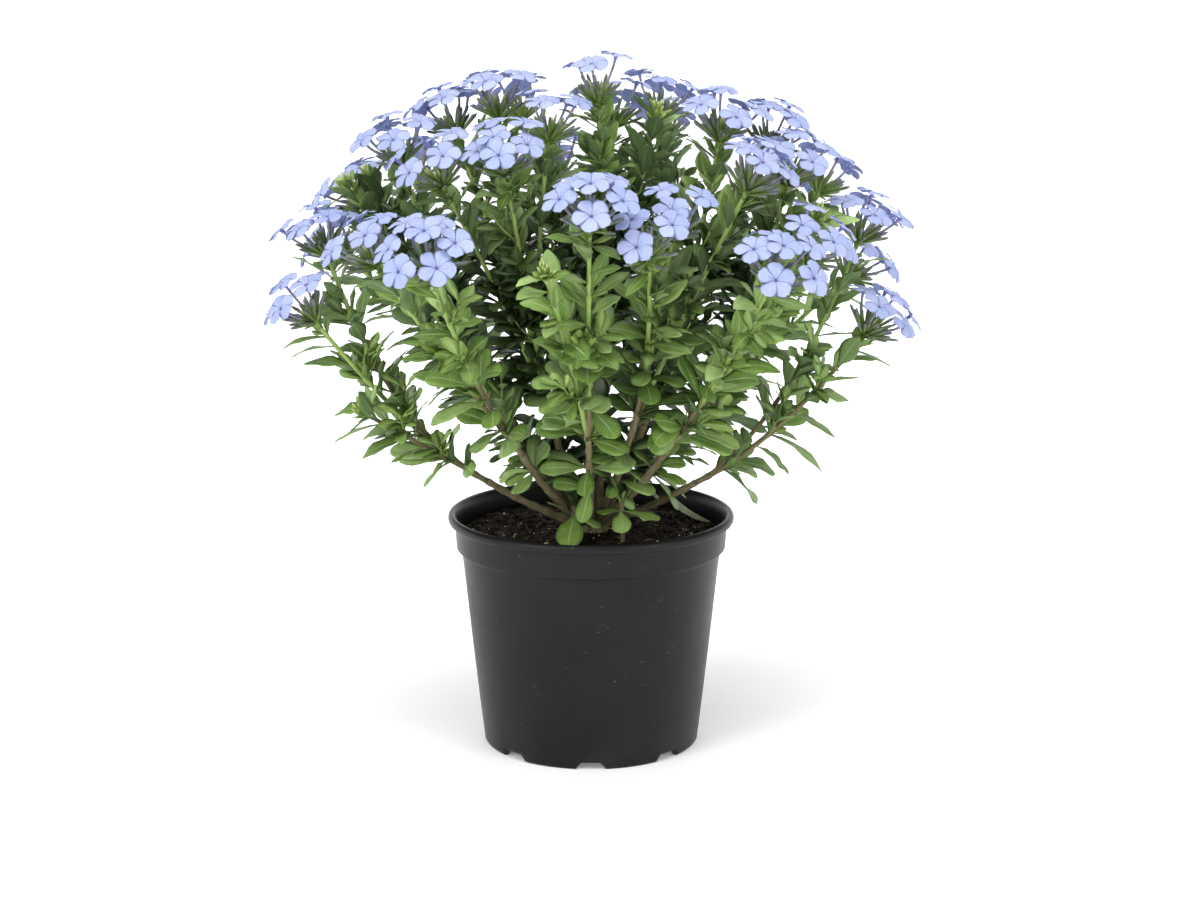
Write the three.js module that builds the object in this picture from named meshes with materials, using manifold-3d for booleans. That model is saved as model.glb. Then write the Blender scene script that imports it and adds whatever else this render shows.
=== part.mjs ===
// A cape plumbago in flower, in a black nursery pot with a drained foot.
// Units are millimetres, +Z is up, and the origin is the middle of the pot's foot on the ground.
import * as THREE from 'three';
import { mergeVertices } from 'three/addons/utils/BufferGeometryUtils.js';
import Module from 'manifold-3d';

const wasm = await Module();
wasm.setup();

// Pot
const POT_HEIGHT = 156;
const FOOT_RADIUS = 72;
const FOOT_CHAMFER = 1.5;
const BODY_TOP_RADIUS = 86;
const BODY_TOP_HEIGHT = 131;
const BAND_RADIUS = 90.5;
const BAND_FOOT_HEIGHT = 132.8;
const BAND_TOP_HEIGHT = 149.6;
const RIM_RADIUS = 95;
const RIM_HEIGHT = 153.4;
const POT_WALL = 1.8;
const FLOOR_UNDERSIDE = 6.5;
const FLOOR_TOP = 8.6;
const NOTCH_COUNT = 8;
const NOTCH_HEIGHT = 5;
const NOTCH_HALF_ANGLE_TOP = 5;
const NOTCH_HALF_ANGLE_FOOT = 8;
const POT_COLUMNS_PER_NOTCH = 5;

// Soil and the crown of the plant
const GAP = 0.3;
const SOIL_LEVEL = 143;
const SOIL_COLUMNS = 16;
const BASAL_HOLE_RADIUS = 4;
const CROWN_RADIUS = 13;
const CROWN_TOP = SOIL_LEVEL + 10;
const CROWN_FOOT = SOIL_LEVEL - 16;
const ROOT_REACH = 4;
const ROOT_HEIGHT = SOIL_LEVEL + 3;

// Stems
const WOOD_ROOT_RADIUS = 3.5;
const WOOD_TIP_RADIUS = 2.5;
const WOOD_SIDES = 4;
const GREEN_ROOT_RADIUS = 2.5;
const GREEN_TIP_RADIUS = 1.7;
const LEAF_NODE_SPACING = 36;
const BROAD_LEAF_ZONE = 0.36;
const LEAF_NODE_HALF_BAND = 1.7;
const WHORL_SHARE = 0.12;
const BUD_TIP_LENGTH = 9;

// Leaves
const LEAF_LENGTH_LOW = 41;
const LEAF_LENGTH_HIGH = 25;
const LEAF_HALF_WIDTH_LOW = 8;
const LEAF_HALF_WIDTH_HIGH = 3;
const LEAF_THICKNESS = 0.9;

// Flower heads
const CORE_RADIUS = 3.9;
const HEAD_RADIUS = 31;
const HEAD_FLATNESS = 0.7;
const RING_TILTS = { 3: 28, 4: 33, 5: 38, 6: 43 };
const RING_STAGGER = 0.06;
const COROLLA_RADIUS = 11.4;
const COROLLA_NOTCH_RADIUS = 5.8;
const PETAL_HALF_ANGLE = 21;
const PETALS = 5;
const THROAT_RADIUS = 1;
const FLOWER_BUD_LENGTH = 11;
const FLOWER_BUDS = 3;

// Free space kept between neighbouring leaves, petals and stems
const CLEARANCE = 1;
const CLEARANCE_STEP = 1.6;

// Each leafy branch leaves the woody stems at a fork, given by its azimuth in degrees from +X,
// its reach from the pot's axis and its height. Its shoots end in a flower head or a bud tip at
// the same kind of position, and the shoots after the first one spring from the first.
const BRANCHES = [
  { fork: [330, 10, 222], shoots: [[281, 26, 422, 3], [68, 38, 402, 5], [31, 50, 418, 0]] },
  { fork: [226, 34, 216], shoots: [[239, 52, 400, 4], [222, 119, 377, 5], [242, 107, 385, 6]] },
  { fork: [184, 28, 222], shoots: [[180, 85, 400, 6], [190, 59, 412, 5]] },
  { fork: [182, 52, 212], shoots: [[187, 120, 383, 7], [184, 156, 374, 0], [172, 147, 377, 0]] },
  { fork: [193, 70, 180], shoots: [[189, 169, 326, 7], [195, 178, 287, 6], [197, 153, 232, 0]] },
  { fork: [231, 70, 206], shoots: [[239, 181, 335, 7], [221, 168, 332, 5]] },
  { fork: [269, 60, 204], shoots: [[270, 164, 361, 6], [261, 169, 340, 0]] },
  { fork: [297, 52, 210], shoots: [[283, 154, 342, 3], [292, 130, 350, 3], [313, 136, 375, 6]] },
  { fork: [346, 36, 216], shoots: [[336, 88, 400, 7], [355, 112, 390, 6]] },
  { fork: [359, 60, 210], shoots: [[344, 128, 373, 6], [13, 152, 359, 3], [337, 155, 361, 0]] },
  { fork: [350, 70, 178], shoots: [[348, 176, 277, 6], [352, 171, 334, 7]] },
  { fork: [312, 70, 206], shoots: [[305, 184, 327, 6], [318, 171, 335, 5]] },
  { fork: [35, 74, 196], shoots: [[20, 180, 300, 4], [48, 184, 290, 5]] },
  { fork: [55, 58, 210], shoots: [[42, 165, 350, 4], [68, 140, 385, 5]] },
  { fork: [87, 68, 202], shoots: [[75, 174, 310, 4], [98, 164, 355, 5]] },
  { fork: [92, 30, 220], shoots: [[114, 112, 402, 4], [62, 92, 404, 5]] },
  { fork: [134, 72, 198], shoots: [[120, 180, 300, 4], [152, 184, 310, 5]] },
  { fork: [150, 58, 208], shoots: [[138, 160, 360, 4], [165, 150, 350, 5]] },
];

// Two short leafy shoots stand in front of the crown. A leaf is given by its azimuth and
// elevation in degrees, its length and its half width.
const BASAL_SHOOTS = [
  {
    name: 'basal_shoot_left',
    base: [-12, -24],
    top: [-11.5, -26, 166],
    leaves: [[262, -26, 30, 8.5], [322, -12, 22, 5.5], [202, 30, 25, 5.5], [40, 38, 21, 5], [118, 58, 22, 5]],
  },
  {
    name: 'basal_shoot_right',
    base: [21, -33],
    top: [20, -36, 171],
    leaves: [[335, -10, 26, 6.5], [270, -22, 22, 6], [205, 0, 18, 5], [20, 50, 24, 5], [200, 66, 24, 5]],
  },
];
const FALLEN_LEAF = { from: [48.5, 30, 165.5], to: [81.5, 24, 141.9], halfWidth: 6.5 };

// The ways in which a leaf or a flower gives way to its neighbours: changes of pitch and of yaw
// in degrees, and a scale.
const LEAF_WAYS = [
  [0, 0, 1], [13, 0, 1], [-12, 0, 1], [0, 22, 1], [0, -22, 1], [12, 18, 0.9], [12, -18, 0.9],
  [-12, 20, 0.85], [-12, -20, 0.85], [0, 38, 0.85], [0, -38, 0.85], [20, 0, 0.75], [-10, 0, 0.7],
];
const FLOWER_WAYS = [
  [0, 0, 1], [0, 8, 1], [0, -8, 1], [0, 0, 1.08], [0, 0, 0.92], [5, 0, 1], [-5, 0, 1.05],
  [5, 10, 1.05], [5, -10, 1.05], [5, 10, 0.93], [5, -10, 0.93], [10, 0, 1], [10, 14, 1],
  [10, -14, 1], [-9, 0, 1.12], [15, 0, 0.95], [15, 8, 1.05], [15, -8, 1.05], [-12, 12, 1],
  [-12, -12, 1], [20, 0, 1],
];
const HEAD_PHASES = 8;

const MATERIALS = {
  pot: new THREE.MeshStandardMaterial({ color: 0x2b2b2d, roughness: 0.42, metalness: 0 }),
  soil: new THREE.MeshStandardMaterial({ color: 0x2a201a, roughness: 0.95, metalness: 0 }),
  wood: new THREE.MeshStandardMaterial({ color: 0x76614a, roughness: 0.8, metalness: 0 }),
  leaf: new THREE.MeshStandardMaterial({ color: 0x4f8040, roughness: 0.55, metalness: 0 }),
  driedLeaf: new THREE.MeshStandardMaterial({ color: 0x93a083, roughness: 0.75, metalness: 0 }),
  petal: new THREE.MeshStandardMaterial({ color: 0xa9b8ee, roughness: 0.6, metalness: 0 }),
};

const group = new THREE.Group();

function addPiece(name, geometry, material) {
  const mesh = new THREE.Mesh(geometry, material);
  mesh.name = name;
  group.add(mesh);
}

function radians(degrees) {
  return (degrees * Math.PI) / 180;
}

// A repeatable draw between 0 and 1 for three whole numbers.
function chance(a, b, c) {
  let x = Math.imul(a + 101, 374761393) ^ Math.imul(b + 211, 668265263) ^ Math.imul(c + 307, 1274126177);
  x = Math.imul(x ^ (x >>> 13), 1103515245);
  x = Math.imul(x ^ (x >>> 16), 695872825);
  x ^= x >>> 15;
  return (x >>> 0) / 4294967296;
}

function atAzimuth(azimuth, reach, height) {
  const angle = radians(azimuth);
  return new THREE.Vector3(reach * Math.cos(angle), reach * Math.sin(angle), height);
}

// A closed surface that is put together one triangle at a time, faces pointing out.
class Surface {
  constructor() {
    this.points = [];
    this.faces = [];
  }

  point(vector) {
    this.points.push(vector);
    return this.points.length - 1;
  }

  loop(vectors) {
    return vectors.map((vector) => this.point(vector));
  }

  face(a, b, c) {
    this.faces.push([a, b, c]);
  }

  // Walls between two loops of the same count, the second one farther along the axis.
  wall(lower, upper) {
    const count = lower.length;
    for (let i = 0; i < count; i += 1) {
      const j = (i + 1) % count;
      this.face(lower[i], lower[j], upper[j]);
      this.face(lower[i], upper[j], upper[i]);
    }
  }

  // A fan from a loop to one point ahead of it, or behind it.
  close(loop, apex, ahead) {
    loop.forEach((corner, i) => {
      const next = loop[(i + 1) % loop.length];
      if (ahead) {
        this.face(corner, next, apex);
      } else {
        this.face(next, corner, apex);
      }
    });
  }

  geometry() {
    const geometry = new THREE.BufferGeometry();
    const positions = this.points.flatMap((p) => [p.x, p.y, p.z]);
    geometry.setAttribute('position', new THREE.Float32BufferAttribute(positions, 3));
    geometry.setIndex(this.faces.flat());
    geometry.computeVertexNormals();
    return geometry;
  }
}

function solidOf(geometry) {
  const bare = geometry.clone();
  bare.deleteAttribute('normal');
  bare.deleteAttribute('uv');
  const merged = mergeVertices(bare, 1e-4);
  const mesh = new wasm.Mesh({
    numProp: 3,
    vertProperties: new Float32Array(merged.attributes.position.array),
    triVerts: new Uint32Array(merged.index.array),
  });
  return new wasm.Manifold(mesh);
}

function geometryOf(solid) {
  const mesh = solid.getMesh();
  const geometry = new THREE.BufferGeometry();
  geometry.setAttribute('position', new THREE.BufferAttribute(mesh.vertProperties, 3));
  geometry.setIndex(new THREE.BufferAttribute(mesh.triVerts, 1));
  geometry.computeVertexNormals();
  return geometry;
}

// A turned body: rings of [radius, height] from the middle of its underside, out, up and in to
// the middle of its top. place(ring, column) may move a corner.
function turnedBody(rings, columns, place) {
  const surface = new Surface();
  const bottom = surface.point(new THREE.Vector3(0, 0, rings[0][1]));
  const loops = rings.slice(1, -1).map((ring, row) => {
    const loop = [];
    for (let column = 0; column < columns; column += 1) {
      const [azimuth, reach, height] = place(row + 1, column, ring);
      loop.push(surface.point(atAzimuth(azimuth, reach, height)));
    }
    return loop;
  });
  const top = surface.point(new THREE.Vector3(0, 0, rings[rings.length - 1][1]));
  surface.close(loops[0], bottom, false);
  for (let row = 0; row + 1 < loops.length; row += 1) {
    surface.wall(loops[row], loops[row + 1]);
  }
  surface.close(loops[loops.length - 1], top, true);
  return surface;
}

// Space already taken, kept as triangles and as points along their edges, in a grid of cells.
class TakenSpace {
  constructor(cell) {
    this.cell = cell;
    this.triangles = new Map();
    this.dots = new Map();
  }

  static dotsAlong(points, faces) {
    const dots = [];
    const done = new Set();
    for (const face of faces) {
      for (let i = 0; i < 3; i += 1) {
        const a = face[i];
        const b = face[(i + 1) % 3];
        const key = Math.min(a, b) * 100000 + Math.max(a, b);
        if (!done.has(key)) {
          done.add(key);
          const steps = Math.max(1, Math.ceil(points[a].distanceTo(points[b]) / CLEARANCE_STEP));
          for (let k = 0; k <= steps; k += 1) {
            dots.push(points[a].clone().lerp(points[b], k / steps));
          }
        }
      }
    }
    return dots;
  }

  keysOf(box) {
    const keys = [];
    const low = box.min.clone().divideScalar(this.cell).floor();
    const high = box.max.clone().divideScalar(this.cell).floor();
    for (let i = low.x; i <= high.x; i += 1) {
      for (let j = low.y; j <= high.y; j += 1) {
        for (let k = low.z; k <= high.z; k += 1) {
          keys.push((i + 100) * 1000000 + (j + 100) * 1000 + (k + 100));
        }
      }
    }
    return keys;
  }

  static put(map, key, item) {
    if (map.has(key)) {
      map.get(key).push(item);
    } else {
      map.set(key, [item]);
    }
  }

  add(points, faces, owner) {
    for (const face of faces) {
      const triangle = new THREE.Triangle(points[face[0]], points[face[1]], points[face[2]]);
      const box = new THREE.Box3().setFromPoints([triangle.a, triangle.b, triangle.c]);
      const item = { triangle, owner };
      this.keysOf(box.expandByScalar(CLEARANCE)).forEach((key) => TakenSpace.put(this.triangles, key, item));
    }
    for (const dot of TakenSpace.dotsAlong(points, faces)) {
      this.keysOf(new THREE.Box3(dot, dot)).forEach((key) => TakenSpace.put(this.dots, key, { dot, owner }));
    }
  }

  // Whether a surface keeps its distance from everything that another owner has put here.
  isFree(points, faces, owner) {
    const nearest = new THREE.Vector3();
    for (const dot of TakenSpace.dotsAlong(points, faces)) {
      const [key] = this.keysOf(new THREE.Box3(dot, dot));
      for (const item of this.triangles.get(key) ?? []) {
        if (item.owner !== owner) {
          item.triangle.closestPointToPoint(dot, nearest);
          if (nearest.distanceTo(dot) < CLEARANCE) {
            return false;
          }
        }
      }
    }
    for (const face of faces) {
      const triangle = new THREE.Triangle(points[face[0]], points[face[1]], points[face[2]]);
      const box = new THREE.Box3().setFromPoints([triangle.a, triangle.b, triangle.c]);
      for (const key of this.keysOf(box.expandByScalar(CLEARANCE))) {
        for (const item of this.dots.get(key) ?? []) {
          if (item.owner !== owner) {
            triangle.closestPointToPoint(item.dot, nearest);
            if (nearest.distanceTo(item.dot) < CLEARANCE) {
              return false;
            }
          }
        }
      }
    }
    return true;
  }
}

const taken = new TakenSpace(8);

// Pot: one turned wall with a rolled rim, a stepped band, a raised floor and a notched foot.
const potRings = [
  [0, FLOOR_UNDERSIDE],
  [FOOT_RADIUS - 5.4, FLOOR_UNDERSIDE],
  [FOOT_RADIUS - 4.6, 0],
  [FOOT_RADIUS - FOOT_CHAMFER, 0],
  [FOOT_RADIUS, FOOT_CHAMFER],
  [BODY_TOP_RADIUS, BODY_TOP_HEIGHT],
  [BAND_RADIUS - 1, BAND_FOOT_HEIGHT],
  [BAND_RADIUS, BAND_TOP_HEIGHT],
  [RIM_RADIUS - 0.9, BAND_TOP_HEIGHT + 1.3],
  [RIM_RADIUS, RIM_HEIGHT],
  [RIM_RADIUS - 3.2, POT_HEIGHT],
  [BAND_RADIUS - POT_WALL - 0.6, BAND_TOP_HEIGHT],
  [BAND_RADIUS - POT_WALL - 1.4, BAND_FOOT_HEIGHT + 1.6],
  [BODY_TOP_RADIUS - POT_WALL - 0.4, BODY_TOP_HEIGHT - 1],
  [FOOT_RADIUS - POT_WALL + 0.6, FLOOR_TOP],
  [0, FLOOR_TOP],
];
const NOTCHED_RINGS = [2, 3, 4];
const FOOT_RINGS = 5;
const POT_COLUMNS = NOTCH_COUNT * POT_COLUMNS_PER_NOTCH;
const FOOT_COLUMN_ANGLES = [
  -NOTCH_HALF_ANGLE_FOOT,
  -NOTCH_HALF_ANGLE_TOP,
  NOTCH_HALF_ANGLE_TOP,
  NOTCH_HALF_ANGLE_FOOT,
  180 / NOTCH_COUNT,
];

function potCorner(row, column, [reach, height]) {
  const inNotch = column % POT_COLUMNS_PER_NOTCH;
  const sector = Math.floor(column / POT_COLUMNS_PER_NOTCH) * (360 / NOTCH_COUNT);
  if (row >= FOOT_RINGS) {
    return [sector + (inNotch - 1) * (360 / POT_COLUMNS), reach, height];
  }
  const lifted = NOTCHED_RINGS.includes(row) && (inNotch === 1 || inNotch === 2);
  const lift = lifted ? NOTCH_HEIGHT - FOOT_CHAMFER * 0.5 : 0;
  return [sector + FOOT_COLUMN_ANGLES[inNotch], reach, height + lift];
}

const pot = turnedBody(potRings, POT_COLUMNS, potCorner);
addPiece('pot', pot.geometry(), MATERIALS.pot);
taken.add(pot.points, pot.faces, 'pot');

// Soil: it fills the pot to just under the rim, uneven on top, with plain holes for the stems.
const soilRings = [
  [0, FLOOR_TOP + GAP],
  [FOOT_RADIUS - POT_WALL - 0.2, FLOOR_TOP + GAP],
  [BODY_TOP_RADIUS - POT_WALL - 1.2, BODY_TOP_HEIGHT - 1],
  [BAND_RADIUS - POT_WALL - 2.2, BAND_FOOT_HEIGHT + 1.6],
  [BAND_RADIUS - POT_WALL - 2, SOIL_LEVEL - 1.5],
  [72, SOIL_LEVEL],
  [48, SOIL_LEVEL],
  [26, SOIL_LEVEL + 0.5],
  [0, SOIL_LEVEL + 1],
];
const SOIL_TOP_ROW = 5;
const SOIL_UNEVENNESS = 1.6;

function soilCorner(row, column, [reach, height]) {
  const bump = row >= SOIL_TOP_ROW ? (chance(row, column, 5) - 0.5) * SOIL_UNEVENNESS : 0;
  return [(column * 360) / SOIL_COLUMNS, reach, height + bump];
}

const soilSurface = turnedBody(soilRings, SOIL_COLUMNS, soilCorner);
taken.add(soilSurface.points, soilSurface.faces, 'soil');

function plug(x, y, radius, foot, top, sides) {
  const geometry = new THREE.CylinderGeometry(radius, radius, top - foot, sides);
  geometry.rotateX(Math.PI / 2);
  geometry.translate(x, y, (top + foot) / 2);
  return geometry;
}

// A round stem along a curve, closed at both ends.
function stemSurface(curve, from, to, radiusFrom, radiusTo, sides, steps) {
  const surface = new Surface();
  let last = null;
  for (let i = 0; i <= steps; i += 1) {
    const u = from + ((to - from) * i) / steps;
    const centre = curve.getPointAt(u);
    const along = curve.getTangentAt(u);
    const across = new THREE.Vector3(0, 0, 1).cross(along).normalize();
    const over = along.clone().cross(across);
    const radius = radiusFrom + ((radiusTo - radiusFrom) * i) / steps;
    const loop = surface.loop(Array.from({ length: sides }, (_, k) => {
      const angle = (2 * Math.PI * k) / sides;
      return centre.clone()
        .addScaledVector(across, radius * Math.cos(angle))
        .addScaledVector(over, radius * Math.sin(angle));
    }));
    if (last) {
      surface.wall(last, loop);
    } else {
      surface.close(loop, surface.point(centre), false);
    }
    if (i === steps) {
      surface.close(loop, surface.point(centre.clone()), true);
    }
    last = loop;
  }
  return surface;
}

// Paths of the stems. A woody stem sets out low from the crown and rises, and each green shoot
// carries on in the same sweep.
function bow(from, control, to) {
  return new THREE.QuadraticBezierCurve3(from, control, to);
}

function pathsOf(branch) {
  const [azimuth, reach, height] = branch.fork;
  const fork = atAzimuth(azimuth, reach, height);
  const root = atAzimuth(azimuth, ROOT_REACH, ROOT_HEIGHT);
  const woodControl = new THREE.Vector3(
    root.x + (fork.x - root.x) * 0.5,
    root.y + (fork.y - root.y) * 0.5,
    root.z + (fork.z - root.z) * 0.36,
  );
  const wood = bow(root, woodControl, fork);
  const sideways = atAzimuth(azimuth + 90, 1, 0);
  const shoots = [];
  branch.shoots.forEach(([tipAzimuth, tipReach, tipHeight, flowers], order) => {
    const tip = atAzimuth(tipAzimuth, tipReach, tipHeight);
    const springsAt = order === 0 ? 0 : 3 + order * 6;
    const from = order === 0 ? fork : shoots[0].curve.getPointAt(springsAt / shoots[0].curve.getLength());
    const heading = order === 0
      ? wood.getTangentAt(1)
      : shoots[0].curve.getTangentAt(springsAt / shoots[0].curve.getLength());
    const span = tip.distanceTo(from);
    if (order > 0) {
      heading.addScaledVector(tip.clone().sub(from).normalize(), 0.8).normalize();
    }
    const control = from.clone().addScaledVector(heading, span * 0.42);
    control.z -= span * 0.03;
    shoots.push({ curve: bow(from, control, tip), springsAt, flowers, sideways, order });
  });
  return { wood, shoots };
}

const PATHS = BRANCHES.map(pathsOf);

// The cross-section of a green stem: three corners, turned by a roll in degrees.
function stemFrame(shoot, distance) {
  const u = Math.min(1, distance / shoot.curve.getLength());
  const centre = shoot.curve.getPointAt(u);
  const along = shoot.curve.getTangentAt(u);
  const first = shoot.sideways.clone().addScaledVector(along, -along.dot(shoot.sideways)).normalize();
  const second = along.clone().cross(first);
  return { centre, along, first, second };
}

function greenRadius(shoot, distance) {
  const root = shoot.order === 0 ? GREEN_ROOT_RADIUS : GREEN_ROOT_RADIUS - 0.4;
  return root + (GREEN_TIP_RADIUS - root) * (distance / shoot.curve.getLength());
}

function around(frame, angle) {
  return frame.first.clone()
    .multiplyScalar(Math.cos(angle))
    .addScaledVector(frame.second, Math.sin(angle));
}

function stemCorners(shoot, distance, roll) {
  const frame = stemFrame(shoot, distance);
  const radius = greenRadius(shoot, distance);
  return [0, 1, 2].map((k) => (
    frame.centre.clone().addScaledVector(around(frame, radians(roll + 120 * k)), radius)));
}

// Two triangles' worth of wall is left open at a leaf node, and the leaf's foot fills it.
function sprout(surface, [lowLeft, lowRight, highRight, highLeft], [under, right, left]) {
  surface.face(lowLeft, lowRight, under);
  surface.face(lowRight, right, under);
  surface.face(lowRight, highRight, right);
  surface.face(highRight, left, right);
  surface.face(highRight, highLeft, left);
  surface.face(highLeft, lowLeft, left);
  surface.face(lowLeft, under, left);
}

// A leaf: its midrib leaves the stem at a pitch from the stem's own direction and sags under its
// weight. A broad leaf has a narrow foot and a wide blade, a slender one is widest halfway, and
// both have a keel below the midrib.
function leafCorners(leaf) {
  const { foot, along, out, length, halfWidth, narrowFoot, pitch, yaw, sag, broad } = leaf;
  const turned = out.clone().applyAxisAngle(along, radians(yaw));
  const across = along.clone().cross(turned).normalize();
  const heading = along.clone()
    .multiplyScalar(Math.cos(radians(pitch)))
    .addScaledVector(turned, Math.sin(radians(pitch)));
  const rib = (part) => foot.clone()
    .addScaledVector(heading, length * part)
    .add(new THREE.Vector3(0, 0, -length * sag * part * part));
  const section = (part, reach) => {
    const centre = rib(part);
    const upper = rib(part + 0.05).sub(centre).cross(across).normalize();
    return [
      centre.clone().addScaledVector(upper, -LEAF_THICKNESS),
      centre.clone().addScaledVector(across, reach),
      centre.clone().addScaledVector(across, -reach),
    ];
  };
  const stations = broad ? [[0.34, narrowFoot], [0.66, 1]] : [[0.46, 1]];
  const sections = stations.map(([part, share]) => section(part, halfWidth * share));
  return { heel: section(0.12, 1.3), sections, tip: rib(1) };
}

// The faces of a blade past its foot, for sections of under, right and left corners and a tip.
function bladeFaces(sections, tip) {
  const faces = [];
  sections.forEach(([under, right, left], i) => {
    const [under2, right2, left2] = sections[i + 1] ?? [tip, tip, tip];
    if (under2 === tip) {
      faces.push([under, right, tip], [right, left, tip], [left, under, tip]);
    } else {
      faces.push([under, right, right2], [under, right2, under2]);
      faces.push([right, left, left2], [right, left2, right2]);
      faces.push([left, under, under2], [left, under2, left2]);
    }
  });
  return faces;
}

function blade(shape) {
  const surface = new Surface();
  const sections = [shape.heel, ...shape.sections].map((section) => surface.loop(section));
  const tip = surface.point(shape.tip);
  const [under, right, left] = sections[0];
  surface.face(under, left, right);
  bladeFaces(sections, tip).forEach((face) => surface.face(...face));
  return surface;
}

function addLeaf(surface, quad, shape) {
  const sections = shape.sections.map((section) => surface.loop(section));
  const tip = surface.point(shape.tip);
  sprout(surface, quad, sections[0]);
  bladeFaces(sections, tip).forEach((face) => surface.face(...face));
}

// Where the leaf nodes sit along a shoot, and the leaves each one carries.
function leafNodesOf(shoot) {
  const length = shoot.curve.getLength();
  const start = shoot.order === 0 ? shoot.forkZone : 17;
  const end = length - (shoot.flowers > 0 ? 7 : 5);
  const count = Math.max(2, Math.round((end - start) / LEAF_NODE_SPACING) + 1);
  return Array.from({ length: count }, (_, i) => start + ((end - start) * i) / (count - 1));
}

function planLeaf(shoot, branchIndex, nodeIndex, side, distance, roll) {
  const key = branchIndex * 4 + shoot.order;
  const draw = (purpose) => chance(key, nodeIndex * 3 + side, purpose);
  const frame = stemFrame(shoot, distance);
  const out = around(frame, radians(roll + 120 * side + 60));
  const up = distance / shoot.curve.getLength();
  const length = (LEAF_LENGTH_LOW + (LEAF_LENGTH_HIGH - LEAF_LENGTH_LOW) * up) * (0.85 + 0.3 * draw(1));
  const halfWidth = (LEAF_HALF_WIDTH_LOW + (LEAF_HALF_WIDTH_HIGH - LEAF_HALF_WIDTH_LOW) * up)
    * (0.85 + 0.3 * draw(2));
  const pitch = 44 + 22 * draw(3) + (up > 0.9 ? 6 : 0);
  const sag = 0.1 + 0.2 * draw(4) * (1 - up * 0.6);
  const narrowFoot = 0.6 + 0.25 * up;
  const foot = frame.centre.clone().addScaledVector(out, greenRadius(shoot, distance) * 0.5);
  const broad = up < BROAD_LEAF_ZONE;
  return { foot, along: frame.along, out, length, halfWidth, narrowFoot, pitch, yaw: 0, sag, broad };
}

function settleLeaf(leaf, owner) {
  for (const [pitch, yaw, scale] of LEAF_WAYS) {
    const tried = {
      ...leaf,
      pitch: leaf.pitch + pitch,
      yaw: leaf.yaw + yaw,
      length: leaf.length * scale,
      halfWidth: leaf.halfWidth * (scale < 0.8 ? 0.8 : 1),
    };
    const shape = leafCorners(tried);
    const surface = blade(shape);
    if (taken.isFree(surface.points, surface.faces, owner)) {
      return shape;
    }
  }
  return null;
}

// Flower heads. The core has twenty faces, and each flower's tube or bud grows from one of them.
function coreOf(centre, axis, phase) {
  const across = new THREE.Vector3(0, 0, 1).cross(axis);
  if (across.length() < 0.05) {
    across.set(1, 0, 0);
  }
  across.normalize();
  const over = axis.clone().cross(across).normalize();
  const place = (azimuth, reach, height) => centre.clone()
    .addScaledVector(across, reach * Math.cos(radians(azimuth + phase)))
    .addScaledVector(over, reach * Math.sin(radians(azimuth + phase)))
    .addScaledVector(axis, height);
  const ring = (offset, height) => Array.from({ length: 5 }, (_, k) => (
    place(offset + 72 * k, CORE_RADIUS * 0.894, height)));
  const points = [
    place(0, 0, CORE_RADIUS),
    ...ring(0, CORE_RADIUS * 0.447),
    ...ring(36, -CORE_RADIUS * 0.447),
    place(0, 0, -CORE_RADIUS * 1.5),
  ];
  const faces = [];
  for (let k = 0; k < 5; k += 1) {
    const n = (k + 1) % 5;
    faces.push([0, 1 + k, 1 + n], [1 + k, 6 + k, 1 + n], [6 + k, 6 + n, 1 + n], [11, 6 + n, 6 + k]);
  }
  return { points, faces, place };
}

// A corolla's outline, with two shoulders and a notch to each petal, and its throat below.
function corollaCorners(middle, facing, spin) {
  const across = new THREE.Vector3(0.31, 0.17, 0.94).cross(facing).normalize();
  const over = facing.clone().cross(across);
  const place = (angle, reach, height) => middle.clone()
    .addScaledVector(across, reach * Math.cos(radians(angle)))
    .addScaledVector(over, reach * Math.sin(radians(angle)))
    .addScaledVector(facing, height);
  const outline = [];
  for (let petal = 0; petal < PETALS; petal += 1) {
    const turn = spin + (360 / PETALS) * petal;
    outline.push(place(turn - PETAL_HALF_ANGLE, COROLLA_RADIUS, -0.9));
    outline.push(place(turn + PETAL_HALF_ANGLE, COROLLA_RADIUS, -0.9));
    outline.push(place(turn + 180 / PETALS, COROLLA_NOTCH_RADIUS, -0.3));
  }
  const throat = [0, 1, 2].map((k) => place(spin + 120 * k - PETAL_HALF_ANGLE, THROAT_RADIUS, -2.4));
  return { middle, outline, throat };
}

const CORNERS = 3 * PETALS;
const COROLLA_FACES = [[2, 5, 8], [2, 8, 14], [8, 11, 14]];
for (let petal = 0; petal < PETALS; petal += 1) {
  const first = 3 * petal;
  const before = (first + CORNERS - 1) % CORNERS;
  COROLLA_FACES.push([before, first, first + 1], [before, first + 1, first + 2]);
}
for (let i = 0; i < CORNERS; i += 1) {
  const next = (i + 1) % CORNERS;
  const throat = CORNERS + Math.floor(i / PETALS);
  COROLLA_FACES.push([next, i, throat]);
  if (i % PETALS === PETALS - 1) {
    COROLLA_FACES.push([next, throat, CORNERS + ((throat - CORNERS + 1) % 3)]);
  }
}

function corollaPoints({ outline, throat }) {
  return [...outline, ...throat];
}

// Directions of a head's flowers: a ring, and one flower above it in a full head.
function flowerDirections(count, headIndex) {
  const inner = count >= 6 ? 1 : 0;
  const ring = count - inner;
  const directions = [];
  for (let i = 0; i < ring; i += 1) {
    const tilt = RING_TILTS[ring] + 6 * (chance(headIndex, i, 11) - 0.5);
    directions.push([tilt, (360 / ring) * i + 10 * (chance(headIndex, i, 12) - 0.5)]);
  }
  if (inner) {
    directions.push([9, 140 * chance(headIndex, 9, 13)]);
  }
  return directions;
}

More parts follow.
